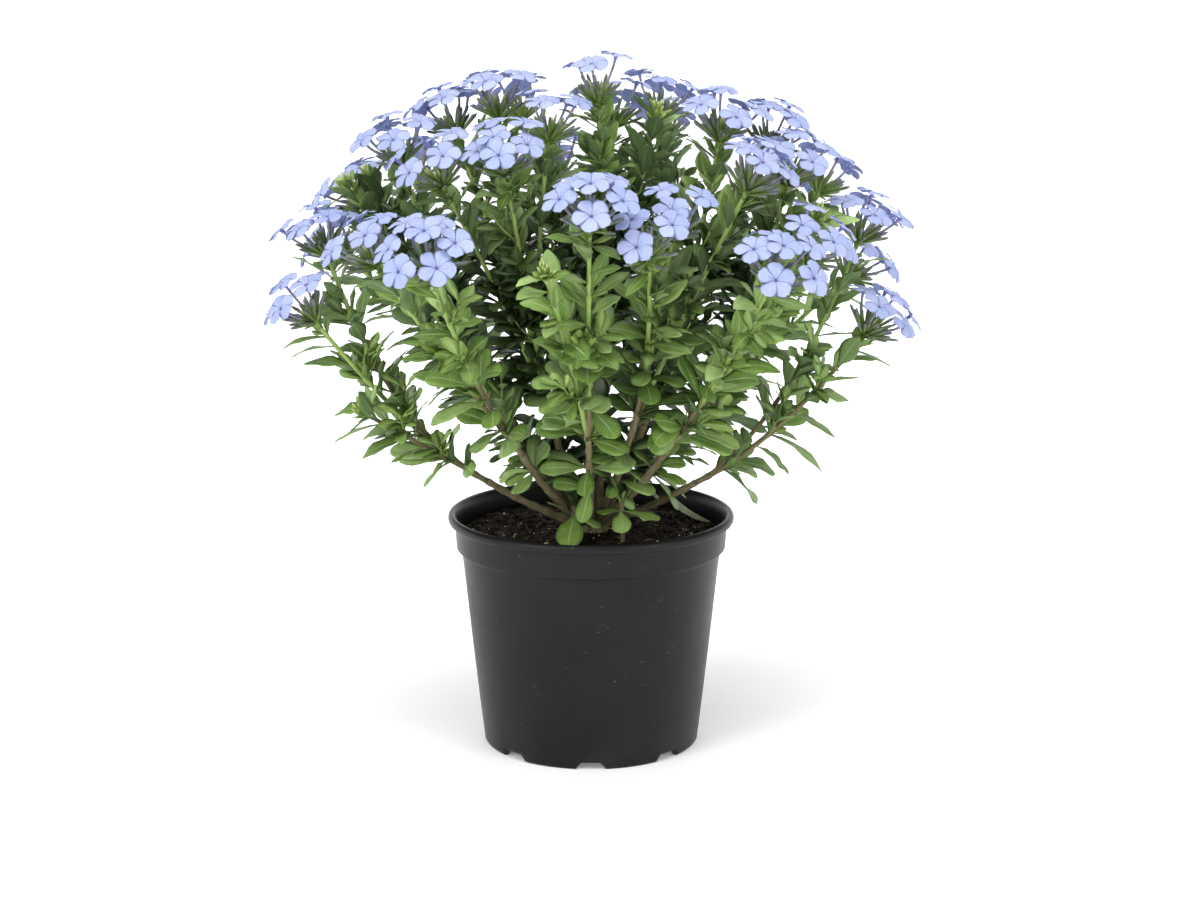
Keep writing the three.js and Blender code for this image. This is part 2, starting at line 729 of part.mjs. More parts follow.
function settleFlower(core, centre, axis, tilt, azimuth, headIndex, order, own) {
  for (const [dTilt, dAzimuth, scale] of FLOWER_WAYS) {
    const lean = radians(tilt + dTilt);
    const stagger = 1 + RING_STAGGER * (order % 2 === 0 ? 1 : -1);
    const reach = HEAD_RADIUS * scale * stagger * (0.97 + 0.06 * chance(headIndex, order, 14));
    const middle = core.place(azimuth + dAzimuth, reach * Math.sin(lean), reach * Math.cos(lean));
    const facing = middle.clone().sub(centre).normalize().addScaledVector(axis, HEAD_FLATNESS)
      .normalize();
    const corolla = corollaCorners(middle, facing, 72 * chance(headIndex, order, 15));
    const tubeEnd = centre.clone().lerp(middle, 0.3);
    const tube = new Surface();
    const foot = tube.loop(corolla.throat.map((corner) => corner.clone().sub(middle).add(tubeEnd)));
    tube.wall(foot, tube.loop(corolla.throat));
    const clear = [own, taken].every((space) => (
      space.isFree(corollaPoints(corolla), COROLLA_FACES, null)
      && space.isFree(tube.points, tube.faces, null)));
    if (clear) {
      own.add(corollaPoints(corolla), COROLLA_FACES, 'flower');
      own.add(tube.points, tube.faces, 'flower');
      return corolla;
    }
  }
  return null;
}

function planHead(shoot, headIndex) {
  const tip = shoot.curve.getPointAt(1);
  const axis = shoot.curve.getTangentAt(1);
  const centre = tip.clone().addScaledVector(axis, CORE_RADIUS * 1.5 + GAP);
  let best = null;
  for (let turn = 0; turn < HEAD_PHASES; turn += 1) {
    const phase = (72 * turn) / HEAD_PHASES + 72 * chance(headIndex, 0, 16);
    const core = coreOf(centre, axis, phase);
    const placed = [];
    const own = new TakenSpace(8);
    flowerDirections(shoot.flowers, headIndex).forEach(([tilt, azimuth], order) => {
      const corolla = settleFlower(core, centre, axis, tilt, azimuth + turn * 9, headIndex, order, own);
      if (corolla) {
        placed.push(corolla);
      }
    });
    if (!best || placed.length > best.placed.length) {
      best = { core, placed, centre, axis };
    }
    if (best.placed.length === shoot.flowers) {
      break;
    }
  }
  return best;
}

// Gives each flower the free face of the core that lies nearest to its foot's direction.
function faceMiddle(core, face) {
  return core.points[face[0]].clone().add(core.points[face[1]]).add(core.points[face[2]]).divideScalar(3);
}

function headSurface(plan) {
  const surface = new Surface();
  const corners = surface.loop(plan.core.points);
  const free = plan.core.faces.map((face) => ({
    face,
    middle: faceMiddle(plan.core, face).sub(plan.centre).normalize(),
  }));
  const sprouting = new Map();
  const nearestFree = (direction, accept) => {
    let best = null;
    for (const candidate of free) {
      const isOpen = !sprouting.has(candidate) && accept(candidate);
      if (isOpen && (!best || candidate.middle.dot(direction) > best.middle.dot(direction))) {
        best = candidate;
      }
    }
    return best;
  };
  plan.placed.forEach((corolla) => {
    const direction = corolla.middle.clone().sub(plan.centre).normalize();
    const rise = direction.dot(plan.axis);
    const aim = direction.clone().addScaledVector(plan.axis, rise > 0.85 ? 0 : -0.45).normalize();
    sprouting.set(nearestFree(aim, (one) => one.middle.dot(plan.axis) > -0.5), { corolla });
  });
  for (let bud = 0; bud < FLOWER_BUDS; bud += 1) {
    const aim = plan.axis.clone();
    const candidate = nearestFree(aim, (one) => one.middle.dot(plan.axis) > 0.5);
    if (candidate) {
      sprouting.set(candidate, { bud });
    }
  }
  free.forEach((candidate) => {
    const base = candidate.face.map((index) => corners[index]);
    const growth = sprouting.get(candidate);
    if (!growth) {
      surface.face(...base);
    } else if (growth.corolla) {
      addFlower(surface, base, growth.corolla);
    } else {
      addBud(surface, base, candidate.middle.clone().addScaledVector(plan.axis, 0.9).normalize(), plan);
    }
  });
  return surface;
}

// The throat's corner that faces each corner of the tube's foot is the one with least twist.
function addFlower(surface, base, corolla) {
  const foot = base.map((index) => surface.points[index]);
  const length = (turn) => foot.reduce((sum, point, i) => (
    sum + point.distanceTo(corolla.throat[(i + turn) % 3])), 0);
  const turn = [0, 1, 2].reduce((best, one) => (length(one) < length(best) ? one : best), 0);
  const points = corollaPoints(corolla).map((point) => surface.point(point));
  const throat = [0, 1, 2].map((i) => points[CORNERS + ((i + turn) % 3)]);
  surface.wall(base, throat);
  COROLLA_FACES.forEach(([a, b, c]) => surface.face(points[a], points[b], points[c]));
}

function addBud(surface, base, direction, plan) {
  const foot = base.map((index) => surface.points[index]);
  const middle = foot[0].clone().add(foot[1]).add(foot[2]).divideScalar(3);
  const waist = surface.loop(foot.map((point) => point.clone()
    .sub(middle)
    .multiplyScalar(0.62)
    .add(middle)
    .addScaledVector(direction, FLOWER_BUD_LENGTH * 0.45)));
  surface.wall(base, waist);
  surface.close(waist, surface.point(plan.centre.clone()
    .addScaledVector(direction, CORE_RADIUS + FLOWER_BUD_LENGTH)), true);
}

// Everything is given its space in turn: stems, then flowers, then leaves.
PATHS.forEach(({ wood, shoots }, branchIndex) => {
  const woody = stemSurface(wood, 0, 1, WOOD_ROOT_RADIUS + 0.3, WOOD_TIP_RADIUS + 0.3, 6, 10);
  taken.add(woody.points, woody.faces, `wood${branchIndex}`);
  shoots.forEach((shoot) => {
    const radius = greenRadius(shoot, 0) + 0.2;
    const green = stemSurface(shoot.curve, 0.02, 1, radius, GREEN_TIP_RADIUS + 0.2, 6, 10);
    taken.add(green.points, green.faces, `shoot${branchIndex}-${shoot.order}`);
    if (shoot.flowers === 0) {
      const { centre, along } = stemFrame(shoot, shoot.curve.getLength());
      const middle = centre.clone().addScaledVector(along, 4);
      const spike = bow(centre, middle, centre.clone().addScaledVector(along, BUD_TIP_LENGTH));
      const bud = stemSurface(spike, 0, 1, GREEN_TIP_RADIUS + 0.2, 0.4, 6, 1);
      taken.add(bud.points, bud.faces, `shoot${branchIndex}-${shoot.order}`);
    }
  });
  shoots[0].forkZone = shoots[shoots.length - 1].springsAt + 12;
});

function settleBasalLeaf(leaf, frame, out, owner) {
  const heading = atAzimuth(leaf.azimuth, 1, 0);
  const turn = Math.atan2(frame.along.dot(out.clone().cross(heading)), out.dot(heading));
  return settleLeaf({
    foot: frame.centre.clone().addScaledVector(out, 1),
    along: frame.along,
    out,
    length: leaf.size,
    halfWidth: leaf.halfWidth,
    narrowFoot: 0.55,
    pitch: 84 - leaf.elevation,
    yaw: THREE.MathUtils.radToDeg(turn),
    sag: 0.08,
    broad: true,
  }, owner);
}

// The two basal shoots: a short stem with five leaves at its top.
function basalShoot({ name, base, top, leaves }) {
  const surface = new Surface();
  const foot = new THREE.Vector3(base[0], base[1], SOIL_LEVEL - 8);
  const head = new THREE.Vector3(...top);
  const curve = bow(foot, foot.clone().lerp(head, 0.5), head);
  const shoot = { curve, sideways: new THREE.Vector3(1, 0, 0), order: 1 };
  const length = curve.getLength();
  const levels = [0, length - 7.5, length - 4.5, length - 3, length];
  const rolls = [12, 12, 12, 72, 72];
  const loops = levels.map((distance, i) => surface.loop(stemCorners(shoot, distance, rolls[i])));
  surface.face(loops[0][2], loops[0][1], loops[0][0]);
  surface.wall(loops[0], loops[1]);
  surface.wall(loops[2], loops[3]);
  surface.close(loops[4], surface.point(head.clone().addScaledVector(new THREE.Vector3(0, 0, 1), 5)), true);
  const left = leaves.map(([azimuth, elevation, size, halfWidth]) => (
    { azimuth, elevation, size, halfWidth }));
  [[1, 3], [3, 2]].forEach(([level, most]) => {
    const frame = stemFrame(shoot, levels[level] + 1.5);
    const sides = [0, 1, 2].map((k) => ({ k, out: around(frame, radians(rolls[level] + 120 * k + 60)) }));
    const bearers = new Map();
    for (let i = 0; i < most; i += 1) {
      const leaf = left.shift();
      const heading = atAzimuth(leaf.azimuth, 1, 0);
      const open = sides.filter((side) => !bearers.has(side.k));
      const side = open.reduce((best, one) => (one.out.dot(heading) > best.out.dot(heading) ? one : best));
      bearers.set(side.k, leaf);
    }
    sides.forEach(({ k, out }) => {
      const n = (k + 1) % 3;
      const quad = [loops[level][k], loops[level][n], loops[level + 1][n], loops[level + 1][k]];
      const shape = bearers.has(k) ? settleBasalLeaf(bearers.get(k), frame, out, name) : null;
      if (shape) {
        addLeaf(surface, quad, shape);
        const space = blade(shape);
        taken.add(space.points, space.faces, `${name}-leaf${k}`);
      } else {
        surface.face(quad[0], quad[1], quad[2]);
        surface.face(quad[0], quad[2], quad[3]);
      }
    });
  });
  return surface;
}

const basalSurfaces = BASAL_SHOOTS.map((shoot) => {
  const surface = basalShoot(shoot);
  addPiece(shoot.name, surface.geometry(), MATERIALS.leaf);
  taken.add(surface.points, surface.faces, shoot.name);
  return surface;
});

// The fallen leaf leans from the stems to the soil's edge, folded along its midrib.
function fallenLeaf({ from, to, halfWidth }) {
  const start = new THREE.Vector3(...from);
  const end = new THREE.Vector3(...to);
  const heading = end.clone().sub(start);
  const across = new THREE.Vector3(0, 0, 1).cross(heading).normalize();
  const upper = heading.clone().normalize().cross(across).negate();
  const surface = new Surface();
  const section = (part, share) => {
    const centre = start.clone().lerp(end, part).addScaledVector(upper, 2.5 * Math.sin(Math.PI * part));
    return surface.loop([
      centre.clone().addScaledVector(upper, -LEAF_THICKNESS),
      centre.clone().addScaledVector(across, -halfWidth * share).addScaledVector(upper, 2.2 * share),
      centre,
      centre.clone().addScaledVector(across, halfWidth * share).addScaledVector(upper, 1.6 * share),
    ]);
  };
  const loops = [[0.22, 0.55], [0.5, 1], [0.78, 0.75]].map(([part, share]) => section(part, share));
  surface.close(loops[0], surface.point(start), false);
  surface.wall(loops[0], loops[1]);
  surface.wall(loops[1], loops[2]);
  surface.close(loops[2], surface.point(end), true);
  return surface;
}

const fallen = fallenLeaf(FALLEN_LEAF);
addPiece('fallen_leaf', fallen.geometry(), MATERIALS.driedLeaf);
taken.add(fallen.points, fallen.faces, 'fallen');

// The soil is cut by one plain hole for the crown and one for each basal shoot.
let soil = solidOf(soilSurface.geometry());
soil = soil.subtract(solidOf(plug(0, 0, CROWN_RADIUS + GAP, CROWN_FOOT - GAP, SOIL_LEVEL + 20, 10)));
BASAL_SHOOTS.forEach(({ base }) => {
  const hole = plug(base[0], base[1], BASAL_HOLE_RADIUS, SOIL_LEVEL - 8 - GAP, SOIL_LEVEL + 20, 8);
  soil = soil.subtract(solidOf(hole));
});
addPiece('soil', geometryOf(soil), MATERIALS.soil);

// The woody stems and the crown are one body.
let woody = solidOf(plug(0, 0, CROWN_RADIUS - GAP, CROWN_FOOT, CROWN_TOP, 10));
PATHS.forEach(({ wood }) => {
  const end = 1 - GAP / wood.getLength();
  const stem = stemSurface(wood, 0, end, WOOD_ROOT_RADIUS, WOOD_TIP_RADIUS, WOOD_SIDES, 3);
  woody = woody.add(solidOf(stem.geometry()));
});
addPiece('woody_stems', geometryOf(woody), MATERIALS.wood);

// Flower heads first, then the leafy branches that carry them.
let headCount = 0;
PATHS.forEach(({ shoots }) => {
  shoots.filter((shoot) => shoot.flowers > 0).forEach((shoot) => {
    headCount += 1;
    const surface = headSurface(planHead(shoot, headCount));
    addPiece(`flower_head_${String(headCount).padStart(2, '0')}`, surface.geometry(), MATERIALS.petal);
    taken.add(surface.points, surface.faces, `head${headCount}`);
  });
});

function rollToFace(shoot, distance, direction) {
  const frame = stemFrame(shoot, distance);
  return THREE.MathUtils.radToDeg(Math.atan2(direction.dot(frame.second), direction.dot(frame.first))) - 60;
}

// Grows a shoot from its first three corners, or from a capped foot of its own.
function growShoot(surface, shoot, others, branchIndex, firstLoop, firstRoll) {
  const length = shoot.curve.getLength();
  const owner = `shoot${branchIndex}-${shoot.order}`;
  const nodes = leafNodesOf(shoot);
  const bands = [
    ...others.map((other) => ({
      distance: other.springsAt,
      fork: other,
      roll: rollToFace(shoot, other.springsAt, other.curve.getPointAt(0.3).sub(other.curve.getPointAt(0))),
    })),
    ...nodes.map((distance, nodeIndex) => ({
      distance,
      nodeIndex,
      whorl: chance(branchIndex * 4 + shoot.order, nodeIndex, 22) < WHORL_SHARE,
      roll: 60 * (nodeIndex % 2) + 40 * chance(branchIndex * 4 + shoot.order, nodeIndex, 21),
    })),
  ];
  let loop = firstLoop;
  let roll = firstRoll;
  if (!loop) {
    roll = bands[0].roll;
    loop = surface.loop(stemCorners(shoot, GAP, roll));
    surface.face(loop[2], loop[1], loop[0]);
  }
  for (const band of bands) {
    const turn = Math.round((roll - band.roll) / 120) * 120;
    roll = band.roll + turn;
    const low = surface.loop(stemCorners(shoot, band.distance - LEAF_NODE_HALF_BAND, roll));
    const high = surface.loop(stemCorners(shoot, band.distance + LEAF_NODE_HALF_BAND, roll));
    surface.wall(loop, low);
    const forkSide = band.fork ? ((0 - turn / 120) % 3 + 3) % 3 : -1;
    for (let side = 0; side < 3; side += 1) {
      const next = (side + 1) % 3;
      const quad = [low[side], low[next], high[next], high[side]];
      const bearsLeaf = !band.fork && (side !== band.nodeIndex % 3 || band.whorl);
      const leaf = bearsLeaf
        ? settleLeaf(planLeaf(shoot, branchIndex, band.nodeIndex, side, band.distance, roll), owner)
        : null;
      if (side === forkSide) {
        growFork(surface, band.fork, branchIndex, quad, stemFrame(shoot, band.distance).along);
      } else if (leaf) {
        addLeaf(surface, quad, leaf);
        const space = blade(leaf);
        taken.add(space.points, space.faces, `${owner}-leaf${band.nodeIndex}-${side}`);
      } else {
        surface.face(quad[0], quad[1], quad[2]);
        surface.face(quad[0], quad[2], quad[3]);
      }
    }
    loop = high;
  }
  const end = surface.loop(stemCorners(shoot, length, roll));
  surface.wall(loop, end);
  if (shoot.flowers > 0) {
    surface.face(...end);
  } else {
    const frame = stemFrame(shoot, length);
    const spike = frame.centre.clone().addScaledVector(frame.along, BUD_TIP_LENGTH);
    surface.close(end, surface.point(spike), true);
  }
}

// A fork: the shoot's first section opens from one side of the stem that bears it.
function growFork(surface, shoot, branchIndex, quad, parentAlong) {
  const distance = 8;
  const frame = stemFrame(shoot, distance);
  const down = parentAlong.clone().negate();
  const bottom = THREE.MathUtils.radToDeg(Math.atan2(down.dot(frame.second), down.dot(frame.first)));
  const loop = surface.loop(stemCorners(shoot, distance, bottom));
  sprout(surface, quad, loop);
  growShoot(surface, shoot, [], branchIndex, loop, bottom);
}

PATHS.forEach(({ shoots }, branchIndex) => {
  const surface = new Surface();
  growShoot(surface, shoots[0], shoots.slice(1), branchIndex, null, 0);
  addPiece(`leafy_branch_${String(branchIndex + 1).padStart(2, '0')}`, surface.geometry(), MATERIALS.leaf);
});

export default group;
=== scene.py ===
"""A cape plumbago in flower, in a black nursery pot with a drained foot."""

import math

import bpy
import numpy as np
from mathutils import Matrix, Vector, noise
from mathutils.kdtree import KDTree


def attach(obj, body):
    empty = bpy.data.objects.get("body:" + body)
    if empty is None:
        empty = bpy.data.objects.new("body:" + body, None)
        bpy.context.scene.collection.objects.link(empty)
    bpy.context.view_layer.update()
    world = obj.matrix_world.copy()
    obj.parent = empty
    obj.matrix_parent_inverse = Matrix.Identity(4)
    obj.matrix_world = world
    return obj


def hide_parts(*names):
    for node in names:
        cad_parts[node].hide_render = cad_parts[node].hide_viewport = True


# The camera stands where the photograph was taken from.
scene = bpy.context.scene
scene.view_settings.view_transform = "Standard"
camera_data = bpy.data.cameras.new("camera")
camera_data.sensor_width = 36
camera_data.lens = 75
CAMERA_DIP = 12.31  # degrees below level
camera = bpy.data.objects.new("camera", camera_data)
camera.location = (0.006, -1.616, 0.550)
camera.rotation_euler = (math.radians(90 - CAMERA_DIP), 0, 0)
scene.collection.objects.link(camera)
scene.camera = camera

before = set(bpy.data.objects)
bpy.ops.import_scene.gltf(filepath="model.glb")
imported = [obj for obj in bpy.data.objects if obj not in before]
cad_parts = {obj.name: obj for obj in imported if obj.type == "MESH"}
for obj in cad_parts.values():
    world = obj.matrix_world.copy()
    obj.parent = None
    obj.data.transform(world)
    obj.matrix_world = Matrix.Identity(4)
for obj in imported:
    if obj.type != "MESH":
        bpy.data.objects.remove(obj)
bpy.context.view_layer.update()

# Everything below is in millimetres until a piece is made. +Z is up.
MM = 0.001
UP = np.array([0.0, 0.0, 1.0])

# Pot
FOOT_RADIUS = 72
FOOT_CHAMFER = 1.5
BODY_TOP_HEIGHT = 131
BAND_TOP_HEIGHT = 149.6
RIM_RADIUS = 95
POT_HEIGHT = 156
FLOOR_UNDERSIDE = 6.5
FLOOR_TOP = 8.6
NOTCH_COUNT = 8
NOTCH_LIFT = 4.25
NOTCH_HALF_ANGLE_TOP = 5
NOTCH_HALF_ANGLE_FOOT = 8

# Soil and crown
SOIL_LEVEL = 143
CROWN_RADIUS = 12.7
CROWN_TOP = 153

# Stems
WOOD_ROOT_RADIUS = 3.5
WOOD_TIP_RADIUS = 2.5
GREEN_ROOT_RADIUS = 2.5
GREEN_TIP_RADIUS = 1.7
SIDE_SHOOT_LESS = 0.4
WOOD_SLIMMER = 0.86  # against the plan's stems, so that bark and knots stay near them
GREEN_SLIMMER = 0.78
LEAF_NODE_SPACING = 36
BROAD_LEAF_ZONE = 0.36
WHORL_SHARE = 0.12

# Leaves
LEAF_LENGTH_LOW = 41
LEAF_LENGTH_HIGH = 25
LEAF_HALF_WIDTH_LOW = 8
LEAF_HALF_WIDTH_HIGH = 3
GOLDEN_TURN = 137.5  # degrees from one small leaf or bud to the next
WOOD_LEAF_HEIGHT = 188  # the lowest leaves on wood: farther out, and within the given reach
WOOD_LEAF_HEIGHT_INSIDE = 173
INSIDE_REACH = 42

# Flower heads
CORE_RADIUS = 3.9
CORE_RISE = CORE_RADIUS * 1.5 + 0.3
HEAD_RADIUS = 31
HEAD_FLATNESS = 0.7
RING_TILTS = {3: 28, 4: 33, 5: 38, 6: 43}
RING_STAGGER = 0.06
FULL_HEAD = 5  # flowers, and how many slim buds a full and a smaller head have
FULL_HEAD_BUDS = 32
SMALL_HEAD_BUDS = 26
TIP_BUDS = 17
COROLLA_RADIUS = 11.4
PETAL_HALF_ANGLE = 21

# Each branch: the fork's azimuth, reach and height, then its shoots' tips with their flowers.
BRANCHES = [
    ((330, 10, 222), [(281, 26, 422, 3), (68, 38, 402, 5), (31, 50, 418, 0)]),
    ((226, 34, 216), [(239, 52, 400, 4), (222, 119, 377, 5), (242, 107, 385, 6)]),
    ((184, 28, 222), [(180, 85, 400, 6), (190, 59, 412, 5)]),
    ((182, 52, 212), [(187, 120, 383, 7), (184, 156, 374, 0), (172, 147, 377, 0)]),
    ((193, 70, 180), [(189, 169, 326, 7), (195, 178, 287, 6), (197, 153, 232, 0)]),
    ((231, 70, 206), [(239, 181, 335, 7), (221, 168, 332, 5)]),
    ((269, 60, 204), [(270, 164, 361, 6), (261, 169, 340, 0)]),
    ((297, 52, 210), [(283, 154, 342, 3), (292, 130, 350, 3), (313, 136, 375, 6)]),
    ((346, 36, 216), [(336, 88, 400, 7), (355, 112, 390, 6)]),
    ((359, 60, 210), [(344, 128, 373, 6), (13, 152, 359, 3), (337, 155, 361, 0)]),
    ((350, 70, 178), [(348, 176, 277, 6), (352, 171, 334, 7)]),
    ((312, 70, 206), [(305, 184, 327, 6), (318, 171, 335, 5)]),
    ((35, 74, 196), [(20, 180, 300, 4), (48, 184, 290, 5)]),
    ((55, 58, 210), [(42, 165, 350, 4), (68, 140, 385, 5)]),
    ((87, 68, 202), [(75, 174, 310, 4), (98, 164, 355, 5)]),
    ((92, 30, 220), [(114, 112, 402, 4), (62, 92, 404, 5)]),
    ((134, 72, 198), [(120, 180, 300, 4), (152, 184, 310, 5)]),
    ((150, 58, 208), [(138, 160, 360, 4), (165, 150, 350, 5)]),
]
# Each young shoot: its foot, its top, and its leaves' azimuth, elevation, length and half width.
BASAL_SHOOTS = {
    "basal_shoot_left": (
        (-12, -24), (-11.5, -26, 166),
        [(262, -26, 30, 8.5), (322, -12, 22, 5.5), (202, 30, 25, 5.5), (40, 38, 21, 5),
         (118, 58, 22, 5)],
    ),
    "basal_shoot_right": (
        (21, -33), (20, -36, 171),
        [(335, -10, 26, 6.5), (270, -22, 22, 6), (205, 0, 18, 5), (20, 50, 24, 5),
         (200, 66, 24, 5)],
    ),
}

# How a leaf or a flower gives way to its neighbours: changes of pitch and yaw, and a scale.
LEAF_WAYS = [
    (0, 0, 1), (13, 0, 1), (-12, 0, 1), (0, 22, 1), (0, -22, 1), (12, 18, 0.9), (12, -18, 0.9),
    (-12, 20, 0.85), (-12, -20, 0.85), (0, 38, 0.85), (0, -38, 0.85), (20, 0, 0.75), (-10, 0, 0.7),
]
FLOWER_WAYS = [
    (0, 0, 1), (0, 8, 1), (0, -8, 1), (0, 0, 1.08), (0, 0, 0.92), (5, 0, 1), (-5, 0, 1.05),
    (5, 10, 1.05), (5, -10, 1.05), (5, 10, 0.93), (5, -10, 0.93), (10, 0, 1), (10, 14, 1),
    (10, -14, 1), (-9, 0, 1.12), (15, 0, 0.95), (15, 8, 1.05), (15, -8, 1.05), (-12, 12, 1),
    (-12, -12, 1), (20, 0, 1),
]


def chance(a, b, c):
    """A repeatable draw between 0 and 1 for three whole numbers."""
    low = 0xFFFFFFFF
    x = ((a + 101) * 374761393 ^ (b + 211) * 668265263 ^ (c + 307) * 1274126177) & low
    x = ((x ^ (x >> 13)) * 1103515245) & low
    x = ((x ^ (x >> 16)) * 695872825) & low
    return (x ^ (x >> 15)) / 4294967296


def draws(a, b):
    """The draws of one leaf, petal or bud, each called up by its purpose."""
    return lambda purpose: chance(a, b, purpose)


def unit(vector):
    return vector / np.linalg.norm(vector)


def at_azimuth(azimuth, reach, height):
    angle = math.radians(azimuth)
    return np.array([reach * math.cos(angle), reach * math.sin(angle), float(height)])


def turned_about(vector, axis, degrees):
    angle = math.radians(degrees)
    along = axis * np.dot(axis, vector) * (1 - math.cos(angle))
    return vector * math.cos(angle) + np.cross(axis, vector) * math.sin(angle) + along


def smooth(low, high, x):
    t = np.clip((x - low) / (high - low), 0, 1)
    return t * t * (3 - 2 * t)


# --- Materials -------------------------------------------------------------------------------

def colour(red, green, blue):
    """A colour as a screen shows it, from 0 to 255, as the shader's own numbers."""
    def linear(value):
        return value / 12.92 if value <= 0.04045 else ((value + 0.055) / 1.055) ** 2.4

    return linear(red / 255), linear(green / 255), linear(blue / 255), 1.0


class Field:
    """A number or a colour that a material works out at every point of a surface."""

    def __init__(self, look, socket):
        self.look = look
        self.socket = socket

    def __add__(self, other):
        return self.look.math("ADD", self, other)

    def __sub__(self, other):
        return self.look.math("SUBTRACT", self, other)

    def __mul__(self, other):
        return self.look.math("MULTIPLY", self, other)

    def __truediv__(self, other):
        return self.look.math("DIVIDE", self, other)

    def spread(self, low, high, to_low=0.0, to_high=1.0):
        """to_low where the field is at low, to_high where it is at high, smooth between them."""
        node = self.look.tree.nodes.new("ShaderNodeMapRange")
        node.interpolation_type = "SMOOTHSTEP"
        for name, item in (("Value", self), ("From Min", low), ("From Max", high),
                           ("To Min", to_low), ("To Max", to_high)):
            self.look.put(node.inputs[name], item)
        return Field(self.look, node.outputs[0])


class Look:
    """A material that is put together node by node. Its colours are given as for colour()."""

    def __init__(self, name, roughness=0.6, specular=0.5):
        self.material = bpy.data.materials.new(name)
        self.material.use_nodes = True
        self.tree = self.material.node_tree
        self.tree.nodes.clear()
        self.shader = self.node("ShaderNodeBsdfPrincipled", Roughness=roughness)
        self.shader.inputs["Specular IOR Level"].default_value = specular
        self.surface = self.node("ShaderNodeOutputMaterial").inputs["Surface"]
        self.tree.links.new(self.shader.outputs[0], self.surface)

    def node(self, kind, **inputs):
        node = self.tree.nodes.new(kind)
        for name, value in inputs.items():
            self.put(node.inputs[name], value)
        return node

    def put(self, socket, value):
        if isinstance(value, Field):
            self.tree.links.new(value.socket, socket)
        else:
            socket.default_value = colour(*value) if isinstance(value, tuple) else value

    def value(self, name):
        node = self.node("ShaderNodeAttribute")
        node.attribute_name = name
        return Field(self, node.outputs["Fac"])

    def math(self, operation, *terms):
        node = self.node("ShaderNodeMath")
        node.operation = operation
        for socket, term in zip(node.inputs, terms):
            self.put(socket, term)
        return Field(self, node.outputs[0])

    def mix(self, share, a, b):
        """Colour a where the share is 0 and colour b where it is 1."""
        node = self.node("ShaderNodeMix")
        node.data_type = "RGBA"
        for index, item in ((0, share), (6, a), (7, b)):
            self.put(node.inputs[index], item)
        return Field(self, node.outputs[2])

    def place(self):
        """Where a point is on the object, in metres."""
        return Field(self, self.node("ShaderNodeTexCoord").outputs["Object"])

    def axes(self):
        parts = self.node("ShaderNodeSeparateXYZ", Vector=self.place())
        return [Field(self, parts.outputs[axis]) for axis in "XYZ"]

    def vector(self, x, y, z):
        return Field(self, self.node("ShaderNodeCombineXYZ", X=x, Y=y, Z=z).outputs[0])

    def noise(self, scale, detail, vector=None, rough=0.5):
        node = self.node("ShaderNodeTexNoise", Scale=scale, Detail=detail, Roughness=rough,
                         Vector=vector or self.place())
        return Field(self, node.outputs[0])

    def cells(self, scale):
        node = self.node("ShaderNodeTexVoronoi", Scale=scale, Vector=self.place())
        return Field(self, node.outputs["Distance"])

    def bump(self, height, strength, distance):
        node = self.node("ShaderNodeBump", Height=height, Strength=strength, Distance=distance)
        self.tree.links.new(node.outputs[0], self.shader.inputs["Normal"])

    def colour(self, value):
        self.put(self.shader.inputs["Base Color"], value)
        self.base = value

    def roughness(self, value):
        self.put(self.shader.inputs["Roughness"], value)

    def let_through(self, share, value=None):
        """Lets a share of the light through, as a thin blade does."""
        glow = self.node("ShaderNodeBsdfTranslucent", Color=value or self.base)
        both = self.node("ShaderNodeMixShader", Fac=share)
        self.tree.links.new(self.shader.outputs[0], both.inputs[1])
        self.tree.links.new(glow.outputs[0], both.inputs[2])
        self.tree.links.new(both.outputs[0], self.surface)


# What the points of every surface carry: the place across and along it, a tone of its own, and
# how fresh it is. On a tube, across runs from 1 to 0 and back round it.
VALUES = ("across", "along", "tone", "fresh")


def painted_shade_share(look):
    """How deep a point lies in the plant, as its share of painted shade: 0 at its outside, 0.86 by
    its middle.
    """
    crown, widest, height = 0.15, 0.2, 0.27  # metres, the last two above the crown
    x, y, z = look.axes()
    rise = look.math("MAXIMUM", z - crown, 0.0)
    width = look.math("MINIMUM", rise, widest) * 0.75 + 0.03
    reach = look.math("SQRT", x * x + y * y)
    return look.math("MAXIMUM", reach / width, rise / height).spread(1.0, 0.58, 0, 0.86)


